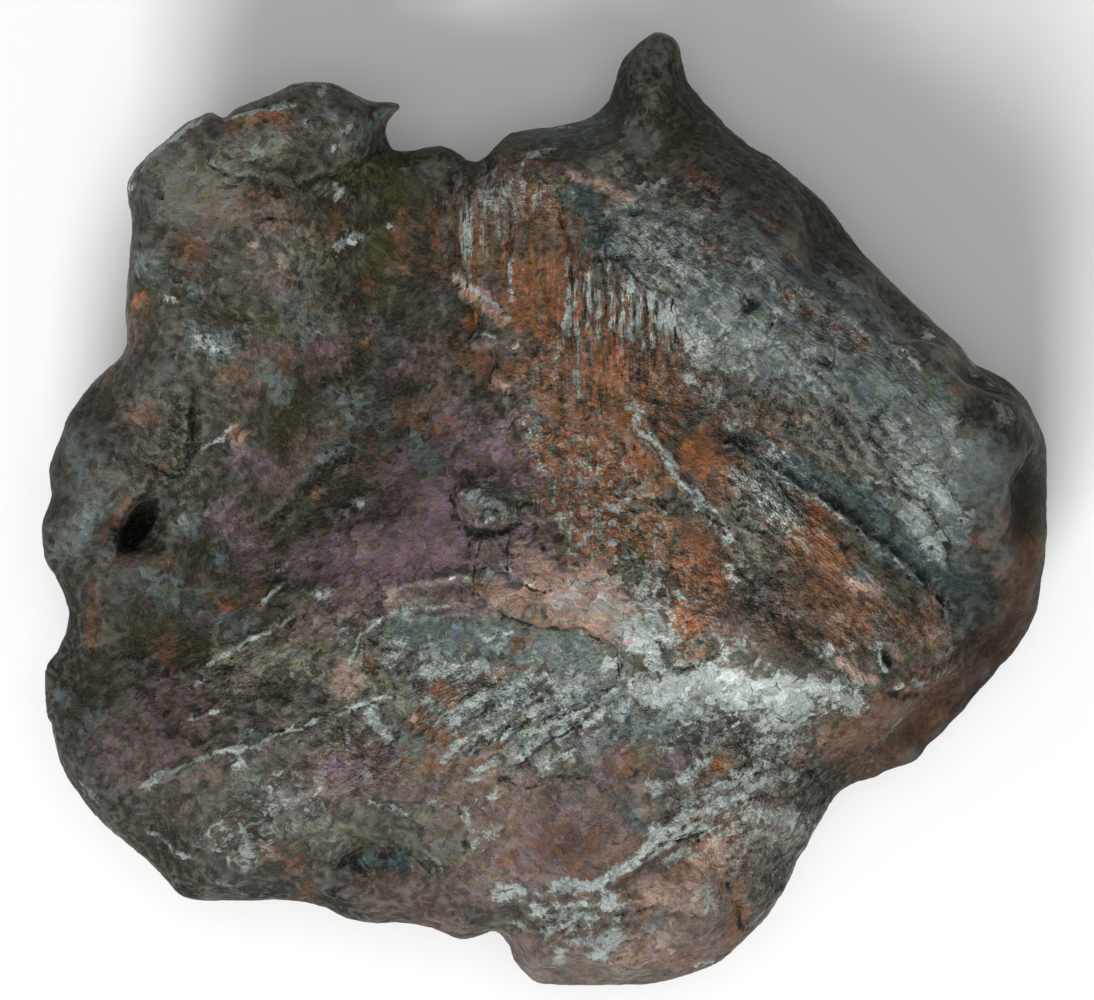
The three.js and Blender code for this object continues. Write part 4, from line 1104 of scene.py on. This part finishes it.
    def _carve(self) -> None:
        """Raises and lowers the skin by the folds, ledges, knobs and grain."""
        points = self._read(self.piece.data.vertices, "co")
        normals = self._read(self.piece.data.vertices, "normal")
        plan = Plan.of(points)
        up = ease(0.0, 0.35, normals[:, 2])
        noise = Noise(self.seed)
        spots = points / MM
        bent = plan + self._waver(spots)
        grain = self._grain(plan, bent, spots, up)

        height = up * (self._forms(bent) + self._knobs(plan))
        height += self.dents.height * noise.swells(spots, self.dents.size, self.dents.octaves) + grain
        walls = noise.ridges(spots + self.walls.shift, self.walls.size, self.walls.octaves)
        height += (1 - up) * self.walls.height * (walls - 0.5)

        points += normals * (height * ease(0.0, self.settle, points[:, 2]) * MM)[:, None]
        points += self._rim(plan, points)
        low, high = (np.array(corner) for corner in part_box(self.node))
        points = np.clip(points, low, high)
        self.piece.data.vertices.foreach_set("co", points.ravel())
        self.piece.data.update()
        self.piece.data.shade_smooth()
        self._write(Trace.CREST, np.clip(grain / self.crest_height, -1, 1))

    def _grain(self, plan: Array, bent: Array, spots: Array, up: Array) -> Array:
        """The height of the crust, the flakes and the drawn lines.

        Args:
            plan: one row of plan x and y for each point.
            bent: the same, as the drawn lines stray.
            spots: one row for each point, in millimetres.
            up: how far each point faces up, 0 to 1.

        Returns:
            Millimetres for each point.
        """
        noise = Noise(self.seed)
        cover = {kind: coverage(plan, marks) * up for kind, marks in GRAIN.items()}
        loud = (0.60 + 0.80 * cover[Texture.ROUGH]) * (1 - 0.75 * cover[Texture.CALM])
        swirled = spots + self.swirl * self._swirl(spots)
        crust = noise.ridges(swirled, self.crust.size, self.crust.octaves) - 0.55
        grit = noise.swells(swirled + self.grit.shift, self.grit.size, self.grit.octaves)
        scales = noise.swells(swirled + self.scales.shift, self.scales.size, self.scales.octaves)
        grain = self.crust.height * crust + self.grit.height * grit
        grain += self.scales.height * flakes(scales, self.scale_steps)
        for kind, flow in FLOW.items():
            drawn = self._drawn(bent, flow)
            laps = flakes(noise.swells(drawn, 1.6, 2), flow.steps)
            lines = self.line_height * noise.at(drawn * 1.9 + 9, 1) + self.lap_height * laps
            grain = grain * (1 - 0.75 * cover[kind]) + cover[kind] * flow.depth * lines
        return grain * loud * (0.35 + 0.65 * up)

    def _waver(self, spots: Array) -> Array:
        """How far a drawn line strays on the plan, so that it runs as a natural crack does.

        Args:
            spots: one row for each point, in millimetres.

        Returns:
            One step of plan x and y for each point.
        """
        noise = Noise(self.seed + 3)
        slow = [noise.at(spots + n, 3.2) for n in (0, 70)]
        short = [noise.at(spots + 40 + n, 1.3) for n in (0, 70)]
        return self.bow * np.stack(slow, axis=1) + self.kink * np.stack(short, axis=1)

    def _swirl(self, spots: Array) -> Array:
        """A slow drift in space, one step for each point, that keeps the grain from looking even."""
        noise = Noise(self.seed + 4)
        return np.stack([noise.at(spots + 60 * n, 4.0) for n in range(3)], axis=1)

    def _drawn(self, plan: Array, flow: Flow) -> Array:
        """Coordinates that are stretched along the lines of one flow.

        Args:
            plan: one row of plan x and y for each point.
            flow: how its lines run.

        Returns:
            One row of three for each point, to read noise at.
        """
        turn = math.radians(flow.angle)
        along = plan @ np.array([math.cos(turn), math.sin(turn)])
        across = plan @ np.array([-math.sin(turn), math.cos(turn)])
        return np.stack([along / (flow.length * flow.spacing), across / flow.spacing, 0 * along], axis=1)

    def _forms(self, plan: Array) -> Array:
        """The height of the folds, the cracks and the ledges.

        Args:
            plan: one row of plan x and y for each point.

        Returns:
            Millimetres for each point.
        """
        height = np.zeros(len(plan))
        for marks, stepped in ((FOLDS, False), (LEDGES, True)):
            for mark in marks:
                rise, width = mark[:2]
                near, beside = marks_near(plan, mark, 2, 2.5 * width)
                across = 0.5 * np.tanh(beside.side / self.ledge_width) if stepped else 1.0
                height[near] += rise * across * beside.fade(width)
        return height

    def _knobs(self, plan: Array) -> Array:
        """The height of the knobs and pits.

        Args:
            plan: one row of plan x and y for each point.

        Returns:
            Millimetres for each point.
        """
        height = np.zeros(len(plan))
        for rise, long, short, turn, x, y in KNOBS:
            angle = math.radians(turn)
            across = plan - np.array([x, y])
            along = across @ np.array([math.cos(angle), math.sin(angle)])
            beside = across @ np.array([-math.sin(angle), math.cos(angle)])
            reach = (along / long) ** 2 + (beside / short) ** 2
            height += rise * np.exp(-1.4 * reach**1.5)
        return height

    def _rim(self, plan: Array, points: Array) -> Array:
        """How far the rim is moved from where the solid leaves it.

        Args:
            plan: one row of plan x and y for each point.
            points: one row for each point, in metres.

        Returns:
            One step in space for each point, level with the floor.
        """
        step = np.zeros_like(points)
        for mark in RIM:
            right, down, width = mark[:3]
            near, beside = marks_near(plan, mark, 3, 2.5 * width)
            share = np.exp(-((beside.distance / width) ** 2))
            step[near] += share[:, None] * (right, -down, 0)
        return step * ease(0.0, 6 * MM, points[:, 2])[:, None] * MM

    def _tint(self) -> None:
        """Writes one attribute for each tint and each texture, and those for hollows and for the painted
        light and tone.
        """
        points = self._read(self.piece.data.vertices, "co")
        normals = self._read(self.piece.data.vertices, "normal")
        spots = points / MM
        noise = Noise(self.seed + 1)
        up = ease(0.05, 0.45, normals[:, 2])
        warp = np.stack([noise.swells(spots, 3.0, 2), noise.swells(spots + 90, 3.0, 2)], axis=1)
        plan = Plan.of(points)
        warped = plan + self.warp * warp
        bent = plan + self._waver(spots)
        broken = 0.72 + 0.55 * noise.swells(spots + 33, 1.6, 2)
        for tint, marks in PAINT.items():
            fine = tuple(mark for mark in marks if mark[0] <= self.fine_width)
            broad = tuple(mark for mark in marks if mark[0] > self.fine_width)
            cover = np.maximum(coverage(warped, broad), coverage(bent, fine) * broken)
            cover = FINISHES[tint].reach * cover * up + self._side_cover(tint, spots) * (1 - up)
            # painted shade on the steep walls, which turn away from the light; the lit stretches of rim get
            # none
            if tint is Tint.SHADE:
                unlit = 1 - coverage(plan, LIT_RIM)
                cover = np.maximum(cover, 1.1 * unlit * ease(0.90, 0.45, normals[:, 2]))
            self._write(tint, cover)
        self._texture({kind: coverage(warped, marks) * up for kind, marks in GRAIN.items()})
        self._write(Trace.HOLLOW, self._hollows(points, normals))
        self._write(Trace.PAINTED_LIGHT_AND_TONE, coverage(plan, PAINTED_LIGHT_AND_TONE, np.add))

    def _texture(self, cover: dict[Texture, Array]) -> None:
        """Writes the attributes for the grain and for the drawn lines.

        Args:
            cover: how strongly each texture covers each corner.
        """
        for kind in (Texture.ROUGH, Texture.CALM):
            self._write(kind, cover[kind])
        strengths = np.stack([cover[kind] for kind in FLOW])
        main = strengths.argmax(axis=0)
        self._write(Trace.TURN, np.radians([flow.angle for flow in FLOW.values()])[main])
        self._write(Trace.DRAWN, strengths.max(axis=0))
        self._write(Trace.SHORT, (main != 0).astype(float))

    def _side_cover(self, tint: Tint, spots: Array) -> Array:
        """How strongly a tint covers the walls and the underside, 0 to 1 for each point."""
        noise = Noise(self.seed + 7 + list(Tint).index(tint))
        return np.clip(FINISHES[tint].side + 0.65 * noise.swells(spots, 9.0, 3), 0, 1)

    def _hollows(self, points: Array, normals: Array) -> Array:
        """How far each corner lies below (+) or above (-) its neighbours.

        Args:
            points: one row for each corner, in metres.
            normals: the outward direction of each.

        Returns:
            -1 to 1 for each corner.
        """
        edges = np.zeros(2 * len(self.piece.data.edges), int)
        self.piece.data.edges.foreach_get("vertices", edges)
        start, end = edges.reshape(-1, 2).T
        total = np.zeros_like(points)
        count = np.zeros(len(points))
        for a, b in ((start, end), (end, start)):
            np.add.at(total, a, points[b])
            np.add.at(count, a, 1)
        depth = np.sum((total / count[:, None] - points) * normals, axis=1)
        spread = np.zeros_like(depth)
        for a, b in ((start, end), (end, start)):
            np.add.at(spread, a, depth[b])
        depth = 0.5 * depth + 0.5 * spread / count
        return np.clip(depth / self.hollow_depth, -1, 1)

    def _write(self, trace: Enum, values: Array) -> None:
        """Keeps one value for each corner under the name of a tint, a texture or a trace."""
        attribute = self.piece.data.attributes.new(trace.value, "FLOAT", "POINT")
        attribute.data.foreach_set("value", values.astype(np.float32))


class Nodes:
    """Short ways to add and join shader nodes in one tree."""

    def __init__(self, tree: bpy.types.NodeTree) -> None:
        """Keeps the tree to add to."""
        self.tree = tree

    def join(self, source: Feed, target: Socket) -> None:
        """Feeds a socket.

        Args:
            source: another socket, a number, a place, or a colour without its alpha.
            target: the socket to feed.
        """
        if isinstance(source, Socket):
            self.tree.links.new(source, target)
        else:
            target.default_value = (*source, 1) if target.type == "RGBA" else source

    def add(self, kind: str, feeds: dict[int | str, Feed] | None = None, **values: object) -> bpy.types.Node:
        """Adds a node.

        Args:
            kind: Blender's name of the node type.
            feeds: what feeds each input, by its name or number.
            values: properties of the node, by name.

        Returns:
            The new node.
        """
        node = self.tree.nodes.new(kind)
        for name, value in values.items():
            setattr(node, name, value)
        for label, source in (feeds or {}).items():
            self.join(source, node.inputs[label])
        return node

    def math(self, operation: str, *sources: Feed, clamp: bool = False) -> Socket:
        """One arithmetic step on numbers; with clamp, its result stays from 0 to 1."""
        feeds = dict(enumerate(sources))
        return self.add("ShaderNodeMath", feeds, operation=operation, use_clamp=clamp).outputs[0]

    def times(self, first: Feed, second: Feed, clamp: bool = False) -> Socket:
        """The product of two numbers."""
        return self.math("MULTIPLY", first, second, clamp=clamp)

    def ramp(self, value: Socket, slope: Feed, start: Feed, clamp: bool = False) -> Socket:
        """A number that starts somewhere and rises or falls with another."""
        return self.math("MULTIPLY_ADD", value, slope, start, clamp=clamp)

    def vector(self, operation: str, *sources: Feed) -> Socket:
        """One arithmetic step on places or colours."""
        return self.add("ShaderNodeVectorMath", dict(enumerate(sources)), operation=operation).outputs[0]

    def gain(self, colour: Socket, by: Feed) -> Socket:
        """A colour made lighter or darker, or a place made larger or smaller."""
        return self.add("ShaderNodeVectorMath", {0: colour, "Scale": by}, operation="SCALE").outputs[0]

    def mix(self, share: Feed, first: Feed, second: Feed) -> Socket:
        """A colour between two others, at a share of the second."""
        feeds = {"Factor": share, "A": first, "B": second}
        return self.add("ShaderNodeMix", feeds, data_type="RGBA").outputs["Result"]

    def blend(self, share: Feed, first: Feed, second: Feed) -> Socket:
        """A number between two others, at a share of the second."""
        feeds = {"Factor": share, "A": first, "B": second}
        return self.add("ShaderNodeMix", feeds, data_type="FLOAT").outputs["Result"]

    def noise(self, place: Socket, scale: float, detail: float, roughness: float = 0.5) -> Outputs:
        """Noise from 0 to 1, as a number and as a colour, with scale swells per millimetre."""
        feeds = {"Vector": place, "Scale": scale, "Detail": detail, "Roughness": roughness}
        return self.add("ShaderNodeTexNoise", feeds, noise_dimensions="3D").outputs

    def cells(self, place: Socket, scale: float, feature: str) -> Outputs:
        """A pattern with scale cells per millimetre; feature is Blender's name of what it measures."""
        return self.add("ShaderNodeTexVoronoi", {"Vector": place, "Scale": scale}, feature=feature).outputs

    def attribute(self, trace: Enum) -> Socket:
        """The values that the skin keeps for a tint, a texture or a trace."""
        return self.add("ShaderNodeAttribute", attribute_name=trace.value).outputs["Fac"]


class Kind(Enum):
    """The kinds of socket that a group has."""

    NUMBER = "NodeSocketFloat"
    COLOUR = "NodeSocketColor"
    PLACE = "NodeSocketVector"


class Group:
    """A shader node group with named inputs and outputs."""

    def __init__(self, name: str, inputs: dict[str, Kind], outputs: dict[str, Kind]) -> None:
        """Makes the empty group.

        Args:
            name: of the group.
            inputs: the kind of each named input.
            outputs: the kind of each named output.
        """
        self.tree = bpy.data.node_groups.new(name, "ShaderNodeTree")
        for way, sockets in (("INPUT", inputs), ("OUTPUT", outputs)):
            for label, kind in sockets.items():
                self.tree.interface.new_socket(label, in_out=way, socket_type=kind.value)
        self.nodes = Nodes(self.tree)
        self.inputs = self.nodes.add("NodeGroupInput").outputs
        self.outputs = self.nodes.add("NodeGroupOutput").inputs

    def give(self, **values: Socket) -> None:
        """Feeds the group's outputs, each by its name."""
        for label, value in values.items():
            self.nodes.join(value, self.outputs[label])

    def place(self, nodes: Nodes, **values: Feed) -> Outputs:
        """Places the group in a tree, feeds its inputs by their names, and hands back its outputs."""
        return nodes.add("ShaderNodeGroup", values, node_tree=self.tree).outputs


def break_up_group() -> Group:
    """Builds what breaks the skin up everywhere: grain, lines, cells, cracks, flakes and fine grit.

    Returns:
        The group; its numbers run from about 0 to 1.
    """
    inputs = {"Position": Kind.PLACE, "Turn": Kind.NUMBER, "Short": Kind.NUMBER}
    numbers = dict.fromkeys(("Grain", "Drift", "Lines", "Grit", "Crack", "Flake"), Kind.NUMBER)
    group = Group("break_up", inputs, {**numbers, "Cells": Kind.PLACE, "Cast": Kind.COLOUR})
    nodes, place = group.nodes, group.inputs["Position"]
    stir = nodes.noise(place, scale=0.6, detail=1.0)
    reach = (3.0, 3.0, 3.0)  # how far the stir bends the grain, in millimetres
    bent = nodes.vector("MULTIPLY_ADD", stir["Color"], reach, place)
    grain = nodes.noise(bent, scale=1.0, detail=4.0, roughness=0.70)["Fac"]

    stretch = nodes.add("ShaderNodeMix", {"Factor": group.inputs["Short"]}, data_type="VECTOR")
    stretch.inputs[4].default_value = (0.20, 1.9, 0.8)  # of the long drawn lines
    stretch.inputs[5].default_value = (0.42, 1.5, 0.9)  # of the short ones
    turn = {"Vector": place, "Angle": group.inputs["Turn"]}
    turned = nodes.add("ShaderNodeVectorRotate", turn, rotation_type="Z_AXIS").outputs[0]
    drawn = nodes.vector("MULTIPLY", turned, stretch.outputs[1])

    swell = nodes.noise(place, scale=0.42, detail=3.0, roughness=0.60)["Fac"]
    steps = 9.0  # flakes in one unit of swell
    edge = nodes.cells(bent, scale=0.36, feature="DISTANCE_TO_EDGE")["Distance"]
    crack = nodes.ramp(edge, slope=-24.0, start=1.0, clamp=True)
    gate = nodes.ramp(grain, slope=7.0, start=-3.3, clamp=True)

    # The cast: how far the stir and the grit shift red, green and blue, from where they start.
    by_stir, by_grit, start = (0.4, 0.3, 0.8), (0.7, 0.55, 0.8), (0.45, 0.575, 0.20)
    grit = nodes.noise(place, scale=1.9, detail=2.0, roughness=0.85)
    slow = nodes.vector("MULTIPLY_ADD", stir["Color"], by_stir, start)
    group.give(
        Grain=grain,
        Drift=stir["Fac"],
        Lines=nodes.noise(drawn, scale=1.0, detail=3.0, roughness=0.66)["Fac"],
        Grit=grit["Fac"],
        Crack=nodes.times(crack, gate),
        Flake=nodes.math("FRACT", nodes.times(swell, steps)),
        Cells=nodes.cells(bent, scale=0.75, feature="F1")["Color"],
        Cast=nodes.vector("MULTIPLY_ADD", grit["Color"], by_grit, slow),
    )
    return group


def patch_group() -> Group:
    """Builds the group that lays one tint over what is below, with a broken edge.

    Returns:
        The group.
    """
    inputs = {"Below": Kind.COLOUR, "Tint": Kind.COLOUR}
    inputs |= dict.fromkeys(("Cover", "Rag", "Cell", "Crispness", "Bite"), Kind.NUMBER)
    group = Group("patch", inputs, {"Colour": Kind.COLOUR, "Mask": Kind.NUMBER})
    nodes, given = group.nodes, group.inputs
    bitten = nodes.ramp(given["Rag"], given["Bite"], given["Cover"])
    celled = nodes.ramp(nodes.math("SUBTRACT", given["Cell"], 0.5), 0.42, bitten)
    broken = nodes.ramp(nodes.math("SUBTRACT", celled, 0.5), given["Crispness"], 0.5, clamp=True)
    mask = nodes.times(broken, nodes.times(given["Cover"], 6.0, clamp=True))
    group.give(Colour=nodes.mix(mask, given["Below"], given["Tint"]), Mask=mask)
    return group


@dataclass(frozen=True)
class Skin:
    """What every step of the patina reads.

    Attributes:
        nodes: the material's tree.
        broken: the outputs of the break-up group.
        cells: its three cell patterns.
        rough: how granular the skin is.
        loud: how far it is from calm.
        grit: the fine grit, about -2 to 2.
        lines: the drawn lines, 0 where none are.
        rag: grain, grit and lines together, as they bite into an edge.
        torn: how strongly the flakes show.
    """

    nodes: Nodes
    broken: Outputs
    cells: Outputs
    rough: Socket
    loud: Socket
    grit: Socket
    lines: Socket
    rag: Socket
    torn: Socket


@dataclass(frozen=True)
class Patina:
    """The weathered skin: tints over umber, flecks, drawn lines, and painted shade and shine on hollows,
    crests and flake steps.

    Attributes:
        name: of the material.
        umber: the dark and the light umber under all tints.
        umber_roughness: of the umber.
        umber_metallic: how much bare metal shows in it.
        fleck: the colour that bright flecks tend to.
        crack: the colour of cracks.
        shine: the colour of the painted shine on crests.
        torn_edge: the colour of the painted shade at the foot of a flake's torn edge.
        torn_lip: the colour of the painted highlight on a flake's lip.
        saturation: of all colours together.
        bump_height: of the finest relief, in metres.
    """

    name: str = "patina"
    umber: tuple[Colour, Colour] = ((0.025, 0.023, 0.015), (0.080, 0.071, 0.056))
    umber_roughness: float = 0.55
    umber_metallic: float = 0.04
    fleck: Colour = (0.238, 0.278, 0.266)
    crack: Colour = (0.014, 0.012, 0.009)
    shine: Colour = (0.30, 0.32, 0.30)
    torn_edge: Colour = (0.012, 0.011, 0.008)
    torn_lip: Colour = (0.26, 0.27, 0.24)
    saturation: float = 1.10
    bump_height: float = 0.65 * MM

    def material(self) -> bpy.types.Material:
        """Builds the material.

        Returns:
            The patina, ready to assign.
        """
        made = bpy.data.materials.new(self.name)
        made.use_nodes = True
        nodes = Nodes(made.node_tree)
        skin = self._skin(nodes)
        colour, roughness, metallic = self._tints(skin)
        colour = self._vary_and_paint_light(skin, self._flecks(skin, colour))
        vivid = nodes.add("ShaderNodeHueSaturation", {"Saturation": self.saturation, "Color": colour})
        shader = made.node_tree.nodes["Principled BSDF"]
        nodes.join(vivid.outputs[0], shader.inputs["Base Color"])
        nodes.join(self._matt(skin, roughness), shader.inputs["Roughness"])
        nodes.join(metallic, shader.inputs["Metallic"])
        nodes.join(self._bump(skin), shader.inputs["Normal"])
        shader.inputs["Specular IOR Level"].default_value = 0.20
        return made

    def _skin(self, nodes: Nodes) -> Skin:
        """Gathers what every step reads.

        Args:
            nodes: the material's tree.

        Returns:
            The sockets, by name.
        """
        place = nodes.gain(nodes.add("ShaderNodeTexCoord").outputs["Object"], 1 / MM)
        rough, short = nodes.attribute(Texture.ROUGH), nodes.attribute(Trace.SHORT)
        broken = break_up_group().place(nodes, Position=place, Turn=nodes.attribute(Trace.TURN), Short=short)
        split = nodes.add("ShaderNodeSeparateXYZ", {0: broken["Cells"]})
        loud = nodes.ramp(nodes.attribute(Texture.CALM), -0.6, 1.0)
        soft = nodes.times(short, nodes.ramp(rough, -1.0, 1.0, clamp=True))
        pull = nodes.times(nodes.attribute(Trace.DRAWN), nodes.ramp(soft, -1.3, 2.2))
        lines = nodes.times(nodes.math("SUBTRACT", broken["Lines"], 0.5), pull)
        grit = nodes.ramp(broken["Grit"], 4.0, -2.0)
        fine = nodes.ramp(grit, nodes.ramp(rough, 0.14, 0.08), lines)
        rag = nodes.times(nodes.math("ADD", nodes.math("SUBTRACT", broken["Grain"], 0.5), fine), loud)
        torn = nodes.times(nodes.ramp(rough, 0.6, 0.4), loud)
        return Skin(nodes, broken, split.outputs, rough, loud, grit, lines, rag, torn)

    def _tints(self, skin: Skin) -> tuple[Socket, Socket, Socket]:
        """Lays the tints over the umber, one after the other.

        Args:
            skin: what every step reads.

        Returns:
            The colour, the roughness and the bare metal.
        """
        nodes = skin.nodes
        patch = patch_group()
        mottle = nodes.ramp(skin.cells[0], 0.5, -0.1)
        tone = nodes.math("ADD", nodes.ramp(skin.broken["Drift"], 2.4, -0.95), mottle, clamp=True)
        colour = nodes.mix(tone, *self.umber)
        roughness, metallic = self.umber_roughness, self.umber_metallic
        for tint, finish in FINISHES.items():
            if tint is Tint.PALE:
                colour = nodes.vector("MULTIPLY", colour, skin.broken["Cast"])
            laid = patch.place(
                nodes,
                Below=colour,
                Tint=finish.colour,
                Cover=nodes.attribute(tint),
                Rag=skin.rag,
                Cell=skin.cells[finish.cell],
                Crispness=finish.crispness,
                Bite=finish.rag,
            )
            colour = laid["Colour"]
            roughness = nodes.blend(laid["Mask"], roughness, finish.roughness)
            metallic = nodes.blend(laid["Mask"], metallic, finish.metallic)
        return colour, roughness, metallic

    def _flecks(self, skin: Skin, colour: Socket) -> Socket:
        """Adds bright flecks on high grit and dark ones in low grit.

        Args:
            skin: what every step reads.
            colour: to change.

        Returns:
            The new colour.
        """
        nodes = skin.nodes
        grit = nodes.ramp(nodes.attribute(Trace.CREST), 0.5, nodes.times(skin.grit, 0.45))
        worn = nodes.math("ADD", nodes.times(skin.rag, 2.0), grit)
        kept = nodes.ramp(nodes.attribute(Tint.SHADE), -0.55, 1.0, clamp=True)
        amount = nodes.times(nodes.times(nodes.ramp(skin.rough, 0.80, 0.42), kept), skin.loud)
        bright = nodes.times(nodes.ramp(worn, 1.6, -0.55, clamp=True), amount, clamp=True)
        dim = nodes.times(nodes.ramp(worn, -1.6, -0.35, clamp=True), amount, clamp=True)
        colour = nodes.mix(bright, colour, nodes.mix(0.62, nodes.gain(colour, 2.3), self.fleck))
        return nodes.mix(nodes.times(dim, 0.95), colour, nodes.gain(colour, 0.25))

    def _vary_and_paint_light(self, skin: Skin, colour: Socket) -> Socket:
        """Varies the colour from cell to cell, darkens or lightens it by the painted light and tone marks,
        paints shade into its hollows and a shine onto its crests, and shade and highlight onto its flake
        steps.

        Args:
            skin: what every step reads.
            colour: to change.

        Returns:
            The new colour.
        """
        nodes = skin.nodes
        colour = nodes.gain(colour, nodes.ramp(skin.cells[1], 0.64, 0.69))
        colour = nodes.mix(nodes.times(skin.broken["Crack"], 0.95), colour, self.crack)
        # painted light and shade, and tone, in stops
        colour = nodes.gain(colour, nodes.math("POWER", 2.0, nodes.attribute(Trace.PAINTED_LIGHT_AND_TONE)))
        # painted shade in the hollows and a painted shine on the crests that stand above their neighbours
        hollow = nodes.attribute(Trace.HOLLOW)
        colour = nodes.mix(nodes.times(hollow, 0.45, clamp=True), colour, nodes.gain(colour, 0.3))
        colour = nodes.mix(nodes.times(hollow, -0.18, clamp=True), colour, self.shine)
        # painted shade at the foot of each flake's step and a painted highlight on its lip
        edge = nodes.ramp(skin.broken["Flake"], 7.0, -6.0, clamp=True)
        lip = nodes.ramp(skin.broken["Flake"], -5.0, 1.0, clamp=True)
        colour = nodes.mix(nodes.times(edge, nodes.times(skin.torn, 0.75)), colour, self.torn_edge)
        return nodes.mix(nodes.times(lip, nodes.times(skin.torn, 0.45)), colour, self.torn_lip)

    def _matt(self, skin: Skin, roughness: Socket) -> Socket:
        """Makes the calm skin a little glossier, and the skin matt where the painted shade and tone marks
        darken it.

        Args:
            skin: what every step reads.
            roughness: of the tints.

        Returns:
            The new roughness.
        """
        dull = skin.nodes.times(skin.nodes.attribute(Trace.PAINTED_LIGHT_AND_TONE), -0.22, clamp=True)
        both = skin.nodes.math("ADD", roughness, dull)
        return skin.nodes.ramp(skin.nodes.attribute(Texture.CALM), -0.12, both, clamp=True)

    def _bump(self, skin: Skin) -> Socket:
        """Raises the finest relief: grit, drawn lines and flakes.

        Args:
            skin: what every step reads.

        Returns:
            The normal.
        """
        nodes = skin.nodes
        height = nodes.ramp(skin.grit, nodes.ramp(skin.rough, 0.10, 0.05), nodes.times(skin.lines, 0.7))
        height = nodes.ramp(skin.broken["Flake"], nodes.times(skin.torn, -0.32), height)
        feeds = {"Strength": 1.0, "Distance": self.bump_height, "Height": height}
        return nodes.add("ShaderNodeBump", feeds).outputs["Normal"]


@dataclass(frozen=True)
class Lamp:
    """One soft lamp of the studio.

    Attributes:
        name: of the lamp.
        place: where it hangs, in metres.
        size: width of its lit square, in metres.
        power: in watts.
    """

    name: str
    place: tuple[float, float, float]
    size: float
    power: float

    def hang(self) -> None:
        """Hangs the lamp, facing the stone."""
        light = bpy.data.lights.new(self.name, "AREA")
        light.size = self.size
        light.energy = self.power
        lamp = bpy.data.objects.new(self.name, light)
        lamp.location = self.place
        lamp.rotation_euler = (-Vector(self.place)).to_track_quat("-Z", "Y").to_euler()
        bpy.context.scene.collection.objects.link(lamp)


@dataclass
class Studio:
    """The floor, the lamps and the camera straight above.

    Attributes:
        lamps: to hang.
        air: strength of the even light from all around.
        floor_size: width of the floor, in metres.
        floor_colour: of its paint.
        floor_roughness: of its paint.
        lens: focal length of the camera, in millimetres.
        sensor: width behind the lens, in millimetres.
        sight: the nearest and farthest that the camera sees, in metres.
    """

    lamps: tuple[Lamp, ...] = (
        Lamp("key", (-0.40, -1.45, 1.30), 0.90, 42.5),
        Lamp("overhead", (0.0, 0.1, 2.2), 1.4, 12.0),
    )
    air: float = 0.24
    floor_size: float = 6.0
    floor_colour: Colour = (0.90, 0.90, 0.90)
    floor_roughness: float = 0.9
    lens: float = 200.0
    sensor: float = 36.0
    sight: tuple[float, float] = (0.05, 20.0)

    def build(self) -> None:
        """Sets the stage."""
        self._floor()
        for lamp in self.lamps:
            lamp.hang()
        world = bpy.data.worlds.new("studio_air")
        world.use_nodes = True
        background = world.node_tree.nodes["Background"]
        background.inputs["Color"].default_value = (1.0, 1.0, 1.0, 1.0)
        background.inputs["Strength"].default_value = self.air
        bpy.context.scene.world = world
        bpy.context.scene.view_settings.view_transform = "Standard"
        self._camera()

    def _floor(self) -> None:
        """Lays a plain pale floor."""
        deselect_all()
        bpy.ops.mesh.primitive_plane_add(size=self.floor_size)
        floor = bpy.context.object
        floor.name = "floor"
        paint = bpy.data.materials.new("floor_paint")
        paint.use_nodes = True
        shader = paint.node_tree.nodes["Principled BSDF"]
        shader.inputs["Base Color"].default_value = (*self.floor_colour, 1.0)
        shader.inputs["Roughness"].default_value = self.floor_roughness
        floor.data.materials.append(paint)
        floor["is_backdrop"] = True

    def _camera(self) -> None:
        """Sets up a long lens that looks straight down."""
        lens = bpy.data.cameras.new("camera")
        lens.lens = self.lens
        lens.sensor_width = self.sensor
        lens.clip_start, lens.clip_end = self.sight
        camera = bpy.data.objects.new("camera", lens)
        camera.location = Plan.EYE
        bpy.context.scene.collection.objects.link(camera)
        bpy.context.scene.camera = camera


def write_sizes() -> None:
    """Works out the solid's box and the dressed part's box, in metres, as lists; nothing is written."""
    boxes = {"cad": CAD_BOX, "visual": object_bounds()}
    lists = {name: [[float(v) for v in corner] for corner in box] for name, box in boxes.items()}


def main() -> None:
    """Builds the stone and the studio, and reports each piece."""
    logging.basicConfig(level=logging.INFO, format="%(name)s: %(message)s")
    piece = Stone().build()
    triangles = sum(len(face.vertices) - 2 for face in piece.data.polygons)
    LOG.info("%s: %d corners, %d triangles", piece.name, len(piece.data.vertices), triangles)
    Studio().build()
    LOG.info("studio: floor, lamps and camera")
    write_sizes()


if __name__ == "__main__":
    main()
